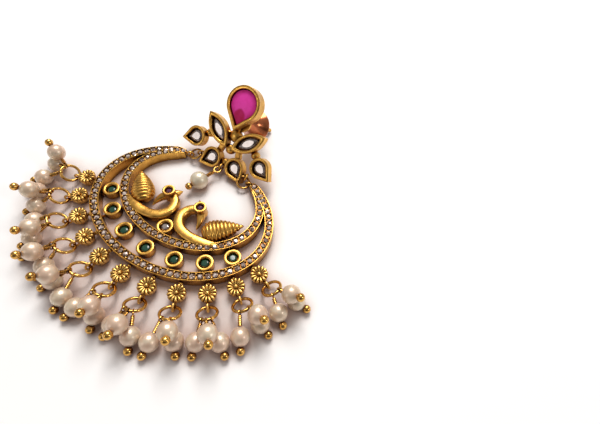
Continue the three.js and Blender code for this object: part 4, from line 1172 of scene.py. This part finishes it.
class BuildSmallStones(bpy.types.Operator):
    """Builds the rows of small stones on both rings, and the prongs that hold them"""

    bl_idname = "earring.build_small_stones"
    bl_label = "Small stones"

    def execute(self, context):
        size = sizes_of(context)
        layout = Layout(size)
        c = size.crescent
        chance = random.Random(11)
        stones, prongs = Form(), Form()
        rings = [
            (layout.outer, layout.tip_x, c.ring_depth),
            (layout.inner, layout.tip_x + c.inner_short + 1.4, c.ring_depth - c.ring_step),
        ]
        for ring, end_x, top in rings:
            for angle, between in self.places(layout, ring, end_x, c.pave_pitch):
                out = layout.outward(ring, angle)
                place = layout.on_ring(ring, angle)
                lean = Matrix.Rotation(chance.uniform(-SMALL_LEAN, SMALL_LEAN), 4, "X")
                matrix = aimed(place + UP * (top - 0.34), out) @ lean
                turn = chance.uniform(0, math.pi)
                cut_stone(stones, matrix, circle(c.pave_radius, 6, turn), SMALL_CUT, chance,
                          chance.choice(SMALL_GLINT_TONES))
                side_out = layout.outward(ring, between)
                side = layout.on_ring(ring, between)
                for across in (-PRONG_OUT, PRONG_OUT):
                    wander = chance.uniform(-PRONG_WANDER, PRONG_WANDER)
                    prongs.ball(side + side_out * (across + wander) + UP * (top - 0.2), PRONG_RADIUS, 10, 6)
        piece("small_stones", stones, finish("pave_glass"), flat=True)
        piece("small_stone_prongs", prongs, finish("petal_gold"))
        return {"FINISHED"}

    def places(self, layout, ring, end_x, pitch):
        """Angles of the stones at an even pitch along a ring, each with the angle of the gap after it."""
        reach = math.pi / 2 + math.acos(end_x / ring[0])
        samples = 900
        angles = [-math.pi / 2 + (2 * i / samples - 1) * reach for i in range(samples + 1)]
        spots = [layout.on_ring(ring, angle) for angle in angles]
        travelled = travel(spots)
        count = max(2, round(travelled[-1] / pitch))
        found = []
        for k in range(2 * count):
            wanted = travelled[-1] * (k + 0.5) / (2 * count)
            found.append(angles[next(i for i, reached in enumerate(travelled) if reached >= wanted)])
        return list(zip(found[::2], found[1::2]))


class BuildSettings(bpy.types.Operator):
    """Builds the round settings in the crescent's band and their stones"""

    bl_idname = "earring.build_settings"
    bl_label = "Round settings"

    def execute(self, context):
        size = sizes_of(context)
        layout = Layout(size)
        c = size.crescent
        chance = random.Random(5)
        form = Form()
        places = [*layout.band_places(), layout.crystal_place]
        rows = setting_rows(c.setting_radius, c.setting_rim, 2 * c.ring_step, c.setting_depth, c.cup_depth)
        for place in places:
            form.lathe(rows, 48, Matrix.Translation(place))
        piece("band_settings", form, finish("antique_gold"))
        radius = (c.setting_radius - c.setting_rim) * 0.76
        for i, place in enumerate(places):
            stone = Form()
            seat = Matrix.Translation(place + UP * (c.setting_depth - c.cup_depth + 0.1))
            cut_stone(stone, seat, circle(radius, 10, chance.uniform(0, 1)), ROUND_CUT, chance, 0.75)
            if i < GREEN_COUNT:
                piece(f"emerald_cut_{i + 1}", stone, finish("emerald_glass"), flat=True,
                      replaces=[f"emerald_{i + 1}"])
            else:
                piece("crystal_cut", stone, finish("crystal_glass"), flat=True,
                      replaces=["crescent_crystal"])
        return {"FINISHED"}


class BuildFlowers(bpy.types.Operator):
    """Builds the flower beads with their pegs and loops"""

    bl_idname = "earring.build_flowers"
    bl_label = "Flower beads"

    def execute(self, context):
        size = sizes_of(context)
        layout = Layout(size)
        c, f = size.crescent, size.fringe
        form = Form()
        for k, angle in enumerate(layout.fringe_angles):
            matrix = layout.flower_frame(angle)
            add_flower(form, size, matrix @ Matrix.Rotation(FLOWER_TURN * k, 4, "Z"))
            middle = f.flower_depth / 2
            start = matrix @ Vector((-layout.flower_offset, 0, middle))
            form.rod(start, matrix @ Vector((0, 0, middle)), c.peg_radius)
            peg = matrix @ Vector((-f.flower_radius - f.flower_peg / 2, 0, middle))
            form.ball(peg, c.peg_radius * 1.5, 16, 10)
            turned = matrix @ Matrix.Translation(layout.flower_loop) @ Matrix.Rotation(math.pi / 2, 4, "X")
            form.loop(turned, f.loop_radius, f.loop_wire)
        piece("flower_beads", form, finish("petal_gold"))
        return {"FINISHED"}


class BuildPeacocks(bpy.types.Operator):
    """Builds the pair of peacocks and their eyes"""

    bl_idname = "earring.build_peacocks"
    bl_label = "Peacocks"

    def execute(self, context):
        size = sizes_of(context)
        layout = Layout(size)
        p = size.peacock
        chance = random.Random(3)
        for mirror, side in ((-1, "left"), (1, "right")):
            form = Form()
            tapered(form, NECK, mirror, layout.shift, steps=60, sides=28, squareness=0.66)
            tapered(form, BEAK, mirror, layout.shift, steps=16, sides=16, squareness=0.85)
            tapered(form, CREST, mirror, layout.shift, steps=10, sides=12, squareness=0.9)
            add_tail(form, size, mirror, layout.shift)
            eye = Vector((mirror * EYE_PLACE[0], EYE_PLACE[1], 0)) + layout.shift
            depth = 0.9
            form.lathe(setting_rows(p.eye_radius, p.eye_rim, p.eye_foot, p.eye_height, depth), 40,
                       Matrix.Translation(eye))
            piece(f"peacock_{side}", form, finish("antique_gold"))
            stone = Form()
            seat = Matrix.Translation(eye + UP * (p.eye_height - depth + 0.1))
            cut_stone(stone, seat, circle((p.eye_radius - p.eye_rim) * 0.74, 10), EYE_CUT, chance, 0.6)
            piece(f"eye_cut_{side}", stone, finish("garnet_glass"), flat=True,
                  replaces=[f"peacock_eye_{side}"])
        return {"FINISHED"}


class BuildStud(bpy.types.Operator):
    """Builds the stud fan: bezels, solder bars, pad, post and loops"""

    bl_idname = "earring.build_stud"
    bl_label = "Stud fan"

    def execute(self, context):
        size = sizes_of(context)
        layout = Layout(size)
        s, f = size.stud, size.fringe
        matrix = layout.stud_frame
        form = Form()
        for bezel in BEZELS:
            add_bezel(form, bezel, size, matrix)
        for bar in SOLDER_BARS:
            add_bar(form, matrix, bar["from"], bar["to"], s.solder_width, -s.bezel_depth, s.solder_depth)
        for dome in JOINT_DOMES:
            rows = [(dome["radius"] * row["size"], row["height"]) for row in DOME_FORM]
            place = Vector((dome["x"], dome["y"], -s.bezel_depth))
            form.lathe(rows, 28, matrix @ Matrix.Translation(place))
        pad = Matrix.Translation(Vector((*POST_PLACE, layout.pad_back)))
        form.lathe([(0.3, 0), (s.pad_radius - 0.1, 0), (s.pad_radius, 0.1), (s.pad_radius, s.pad_depth),
                    (0.3, s.pad_depth)], 40, matrix @ pad)
        root = Vector((*POST_PLACE, layout.pad_back + s.pad_depth / 2))
        tip = root + layout.post_direction * s.post_length
        form.rod(matrix @ root, matrix @ (tip - layout.post_direction * 0.25), s.post_radius, 20)
        form.tube([matrix @ (tip - layout.post_direction * 0.26), matrix @ tip],
                  [s.post_radius, s.post_radius * 0.55], 20, (matrix.to_3x3() @ Vector((0, 1, 0))))
        for link in layout.links:
            middle = matrix @ Vector((link["mirror"] * INNER_DROP["x"], INNER_DROP["y"],
                                      -s.bezel_depth / 2))
            to_bezel = middle - link["stud"]
            to_bezel -= link["stud_facing"] * to_bezel.dot(link["stud_facing"])
            edge = link["stud"] + to_bezel.normalized() * f.loop_radius
            form.loop(facing(link["stud"], link["stud_facing"]), f.loop_radius, f.loop_wire)
            form.rod(middle, edge, f.loop_wire * STEM_SHARE)
        form.loop(matrix @ Matrix.Translation(layout.centre_loop) @ Matrix.Rotation(math.pi / 2, 4, "Y"),
                  f.loop_radius, f.loop_wire)
        piece("stud_bezels", form, finish("antique_gold"), replaces=["stud_setting"])
        return {"FINISHED"}


class BuildStudStones(bpy.types.Operator):
    """Builds the cut stones of the stud fan"""

    bl_idname = "earring.build_stud_stones"
    bl_label = "Stud stones"

    def execute(self, context):
        size = sizes_of(context)
        layout = Layout(size)
        s = size.stud
        chance = random.Random(23)
        for bezel in BEZELS:
            ruby = bezel["kind"] == "ruby"
            inset = (s.ruby_rim if ruby else s.bezel_rim) + 0.12
            front = s.ruby_rise if ruby else 0
            outline = bezel_outline(bezel, size, inset, ruby)
            seat = layout.stud_frame @ Matrix.Translation(
                Vector((bezel["x"], bezel["y"], front - s.pocket_depth + 0.1)))
            form = Form()
            if ruby:
                self.ruby(form, seat, outline)
            else:
                cut_stone(form, seat, outline, BEZEL_CUT, chance, 0.9)
            piece(f"{bezel['name']}_cut", form, finish("ruby_glass" if ruby else "crystal_glass"),
                  flat=not ruby, sharp=14,
                  replaces=[f"{bezel['name']}_stone"])
        return {"FINISHED"}

    def ruby(self, form, seat, outline):
        """A large, gently domed stone with a flat facet at its tip; painted shade darkens that facet, and the
        dome towards its rim.
        """
        base = len(form.points)
        count = len(outline)
        tip = max(here.length for here in outline)
        rows = [(0.97, 0.0), (1.0, 0.4)]
        for i in range(RUBY_ROWS):
            share = 0.95 * (1 - i / (RUBY_ROWS - 1)) + 0.02
            rows.append((share, RUBY_HEIGHT + RUBY_DOME * (1 - share ** 2)))
        for share, height in rows:
            for here in outline:
                low = RUBY_TIP_HEIGHT + RUBY_TIP_SLOPE * (here.y * share + tip) / tip
                form.points.append(seat @ Vector((here.x * share, here.y * share, min(height, low))))
        for k in range(len(rows) - 1):
            for j in range(count):
                nxt = (j + 1) % count
                # Painted shade: faces on the tip facet take the darkest tone, and the dome's outer rows grow
                # darker towards its rim
                middle = (outline[j].y + outline[nxt].y) * (rows[k][0] + rows[k + 1][0]) / 4
                below = rows[k + 1][1] - RUBY_TIP_HEIGHT - RUBY_TIP_SLOPE * (middle + tip) / tip
                cut = min(1, max(0, below / RUBY_TIP_BLUR))
                form.face((base + k * count + j, base + k * count + nxt,
                           base + (k + 1) * count + nxt, base + (k + 1) * count + j),
                          0.1 * cut + (1 - cut) * min(1, 0.4 + 0.06 * k))
        top = base + (len(rows) - 1) * count
        form.face([top + j for j in range(count)], 1.0)


class BuildNut(bpy.types.Operator):
    """Builds the bell-shaped ear nut"""

    bl_idname = "earring.build_nut"
    bl_label = "Ear nut"

    def execute(self, context):
        size = sizes_of(context)
        layout = Layout(size)
        s = size.stud
        start = Vector((*POST_PLACE, layout.pad_back)) + layout.post_direction * s.nut_back_off
        spin = UP.rotation_difference(layout.post_direction).to_matrix().to_4x4()
        matrix = layout.stud_frame @ Matrix.Translation(start) @ spin
        bore = s.post_radius + s.nut_gap
        reach, wide, neck, wall = s.nut_length, s.nut_radius, s.nut_neck, s.nut_wall
        # Rows of radius and distance from the narrow end, down the outside and back up the inside
        rows = [
            (bore, 0), (neck - 0.12, 0), (neck, 0.12), (neck * 1.02, reach * 0.12),
            (neck * 1.15, reach * 0.25), (wide * 0.5, reach * 0.46), (wide * 0.64, reach * 0.62),
            (wide * 0.82, reach * 0.79), (wide * 0.96, reach * 0.9), (wide, reach * 0.94),
            (wide - 0.03, reach * 0.98), (wide - wall * 0.5, reach), (wide * 0.88 - wall * 0.5, reach * 0.9),
            (wide * 0.62 - wall, reach * 0.72), (neck, reach * 0.52), (bore + 0.1, reach * 0.5),
            (bore, reach * 0.48),
        ]
        rings = []
        for radius, height in rows:
            rings.append([matrix @ Vector((radius * math.cos(2 * math.pi * j / 56),
                                           radius * math.sin(2 * math.pi * j / 56), height))
                          for j in range(56)])
        form = Form()
        form.grid(rings, wrap=True)
        piece("nut_bell", form, finish("copper_gold"), body=NUT, replaces=["ear_nut"])
        return {"FINISHED"}


class BuildLinks(bpy.types.Operator):
    """Builds the two link rings between the stud and the crescent"""

    bl_idname = "earring.build_links"
    bl_label = "Link rings"

    def execute(self, context):
        size = sizes_of(context)
        layout = Layout(size)
        for link, side in zip(layout.links, ("left", "right")):
            form = Form()
            form.loop(facing(link["centre"], link["normal"]), size.stud.link_radius, size.stud.link_wire,
                      40, 12)
            piece(f"link_wire_{side}", form, finish("polished_gold"),
                  replaces=[f"link_ring_{side}"])
        return {"FINISHED"}


class BuildCentreDrop(bpy.types.Operator):
    """Builds the pearl that hangs from the middle of the stud"""

    bl_idname = "earring.build_centre_drop"
    bl_label = "Centre drop"

    def execute(self, context):
        size = sizes_of(context)
        layout = Layout(size)
        f, s = size.fringe, size.stud
        apart = 2 * f.loop_radius - 2 * f.loop_wire - LOOP_PLAY
        reach = apart + f.loop_radius + f.centre_coil + f.centre_pearl
        hook = layout.stud_frame @ layout.centre_loop
        fall = math.asin((f.centre_pearl + SURFACE_GAP - hook.z) / reach)
        direction = heading(s.centre_aim, fall)
        start = hook + direction * apart
        wires, pearl = Form(), Form()
        wires.loop(aimed(start, direction), f.loop_radius, f.loop_wire * 0.85)
        coil_start = start + direction * (f.loop_radius - 0.02)
        wires.rod(coil_start, coil_start + direction * (f.centre_coil + 0.2), CENTRE_PIN_RADIUS, 10)
        wires.coil(coil_start + direction * CENTRE_COIL_START, direction, f.centre_coil - 0.45,
                   CENTRE_COIL_RADIUS, CENTRE_COIL_WIRE, (f.centre_coil - 0.4) / CENTRE_COIL_PITCH)
        centre = start + direction * (f.loop_radius + f.centre_coil + f.centre_pearl)
        add_pearl(pearl, centre, direction, f.centre_pearl)
        wires.ball(centre + direction * (f.centre_pearl + f.ball_radius * BALL_OUT), f.ball_radius)
        piece("centre_pearl", pearl, finish("centre_pearl_coat"), replaces=["centre_pearl_drop"])
        piece("centre_pearl_wire", wires, finish("polished_gold"))
        return {"FINISHED"}


class BuildFringe(bpy.types.Operator):
    """Builds the jump rings with their three pearl drops each"""

    bl_idname = "earring.build_fringe"
    bl_label = "Pearl fringe"

    def execute(self, context):
        size = sizes_of(context)
        layout = Layout(size)
        f = size.fringe
        for i, angle in enumerate(layout.fringe_angles):
            matrix = layout.flower_frame(angle)
            wires, pearls = Form(), Form()
            ring = matrix @ Matrix.Translation(layout.jump_centre) @ Matrix.Rotation(-f.jump_rise, 4, "Y")
            wires.loop(ring, f.jump_radius, f.jump_wire, 44, 12)
            for drop in layout.drops(FRINGE_TABLE[i % len(FRINGE_TABLE)]):
                add_drop(wires, pearls, drop, size, matrix)
            piece(f"fringe_pearls_{i + 1}", pearls, finish("pearl_coat"),
                  replaces=[f"pearl_fringe_{i + 1}"])
            piece(f"fringe_wires_{i + 1}", wires, finish("polished_gold"))
        return {"FINISHED"}


class BuildStage(bpy.types.Operator):
    """Builds the table, the lights and the camera"""

    bl_idname = "earring.build_stage"
    bl_label = "Stage"

    def execute(self, context):
        scene = context.scene
        self.table(scene)
        for row in LIGHTS:
            self.light(scene, row)
        self.surroundings(scene)
        self.camera(scene)
        scene.view_settings.view_transform = "Standard"
        return {"FINISHED"}

    def table(self, scene):
        """A pale surface, with painted shadow close under the earring."""
        mesh = bpy.data.meshes.new("table")
        half = TABLE_HALF
        mesh.from_pydata([(-half, -half, 0), (half, -half, 0), (half, half, 0), (-half, half, 0)], [],
                         [(0, 1, 2, 3)])
        obj = bpy.data.objects.new("table", mesh)
        material, nodes, links, shader = fresh_material("table_surface", scene.finishes.table, 0.55, 0.0)
        tone = spread(nodes, links, noise(nodes, links, 30, 2), 0.3, 0.7, 0.0, 1.0)
        table = scene.finishes.table
        pale = blended(nodes, links, tone, [v * 0.985 for v in table], table)
        # Painted shadow: the surface turns to the shadow colour where the earring encloses it
        enclosed = nodes.new("ShaderNodeAmbientOcclusion")
        enclosed.inputs["Distance"].default_value = TABLE_SHADE * MM
        open_share = spread(nodes, links, enclosed.outputs["AO"], 0.4, 0.93, 0.0, 1.0)
        links.new(blended(nodes, links, open_share, scene.finishes.shadow, pale), shader.inputs["Base Color"])
        mesh.materials.append(material)
        scene.collection.objects.link(obj)

    def light(self, scene, row):
        """A soft round light that faces the earring."""
        data = bpy.data.lights.new(row["name"], "AREA")
        data.shape = "DISK"
        data.size = row["size"]
        data.energy = row["power"]
        data.color = LIGHT_TONE
        obj = bpy.data.objects.new(row["name"], data)
        obj.location = row["place"]
        towards = Vector(LIGHT_TARGET) - Vector(row["place"])
        obj.rotation_euler = towards.to_track_quat("-Z", "Y").to_euler()
        scene.collection.objects.link(obj)

    def surroundings(self, scene):
        """Pale low walls, bright above and behind, and a dark front for the metal to show."""
        world = bpy.data.worlds.new("studio")
        world.use_nodes = True
        scene.world = world
        nodes, links = world.node_tree.nodes, world.node_tree.links
        coordinate = nodes.new("ShaderNodeTexCoord")
        towards = nodes.new("ShaderNodeVectorMath")
        towards.operation = "DOT_PRODUCT"
        towards.inputs[1].default_value = BRIGHT_WAY
        links.new(coordinate.outputs["Generated"], towards.inputs[0])
        share = spread(nodes, links, towards.outputs["Value"], 0.0, 0.85, 0.0, 1.0)
        height = nodes.new("ShaderNodeSeparateXYZ")
        links.new(coordinate.outputs["Generated"], height.inputs[0])
        wall = spread(nodes, links, height.outputs["Z"], *WALL_TOP, 1.0, 0.0)
        pale = nodes.new("ShaderNodeMath")
        pale.operation = "MAXIMUM"
        links.new(share, pale.inputs[0])
        links.new(wall, pale.inputs[1])
        tone = blended(nodes, links, pale.outputs["Value"], DARK_TONE, PALE_TONE)
        links.new(tone, nodes["Background"].inputs["Color"])
        nodes["Background"].inputs["Strength"].default_value = SURROUNDING_STRENGTH

    def camera(self, scene):
        """The view that the photograph has."""
        data = bpy.data.cameras.new("camera")
        data.sensor_width = CAMERA_SENSOR
        data.lens = CAMERA_LENS
        data.clip_start = 0.001
        data.clip_end = 5
        obj = bpy.data.objects.new("camera", data)
        place = Vector(CAMERA_PLACE)
        look = (Vector(CAMERA_TARGET) - place).to_track_quat("-Z", "Y").to_matrix()
        turn = look @ Matrix.Rotation(CAMERA_ROLL * DEGREE, 3, "Z")
        obj.matrix_world = Matrix.Translation(place) @ turn.to_4x4()
        scene.collection.objects.link(obj)
        scene.camera = obj


class EARRING_PT_pieces(bpy.types.Panel):
    """Lists the earring's pieces in the sidebar"""

    bl_label = "Chandbali Earring"
    bl_space_type = "VIEW_3D"
    bl_region_type = "UI"
    bl_category = "Earring"

    def draw(self, context):
        for operator in OPERATORS:
            self.layout.operator(operator.bl_idname)


OPERATORS = (BuildStage, BuildRings, BuildSmallStones, BuildSettings, BuildFlowers, BuildPeacocks, BuildStud,
             BuildStudStones, BuildNut, BuildLinks, BuildCentreDrop, BuildFringe)
GROUPS = {
    "crescent_sizes": CrescentSizes,
    "fringe_sizes": FringeSizes,
    "peacock_sizes": PeacockSizes,
    "stud_sizes": StudSizes,
    "finishes": Finishes,
}


def register():
    for group in GROUPS.values():
        bpy.utils.register_class(group)
    for name, group in GROUPS.items():
        setattr(bpy.types.Scene, name, PointerProperty(type=group))
    for operator in OPERATORS:
        bpy.utils.register_class(operator)
    bpy.utils.register_class(EARRING_PT_pieces)


def unregister():
    bpy.utils.unregister_class(EARRING_PT_pieces)
    for operator in reversed(OPERATORS):
        bpy.utils.unregister_class(operator)
    for name in GROUPS:
        delattr(bpy.types.Scene, name)
    for group in reversed(list(GROUPS.values())):
        bpy.utils.unregister_class(group)


def main():
    """Registers the add-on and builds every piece."""
    register()
    bpy.ops.earring.build_stage()
    bpy.ops.earring.build_rings()
    bpy.ops.earring.build_small_stones()
    bpy.ops.earring.build_settings()
    bpy.ops.earring.build_flowers()
    bpy.ops.earring.build_peacocks()
    bpy.ops.earring.build_stud()
    bpy.ops.earring.build_stud_stones()
    bpy.ops.earring.build_nut()
    bpy.ops.earring.build_links()
    bpy.ops.earring.build_centre_drop()
    bpy.ops.earring.build_fringe()


if __name__ == "__main__":
    main()
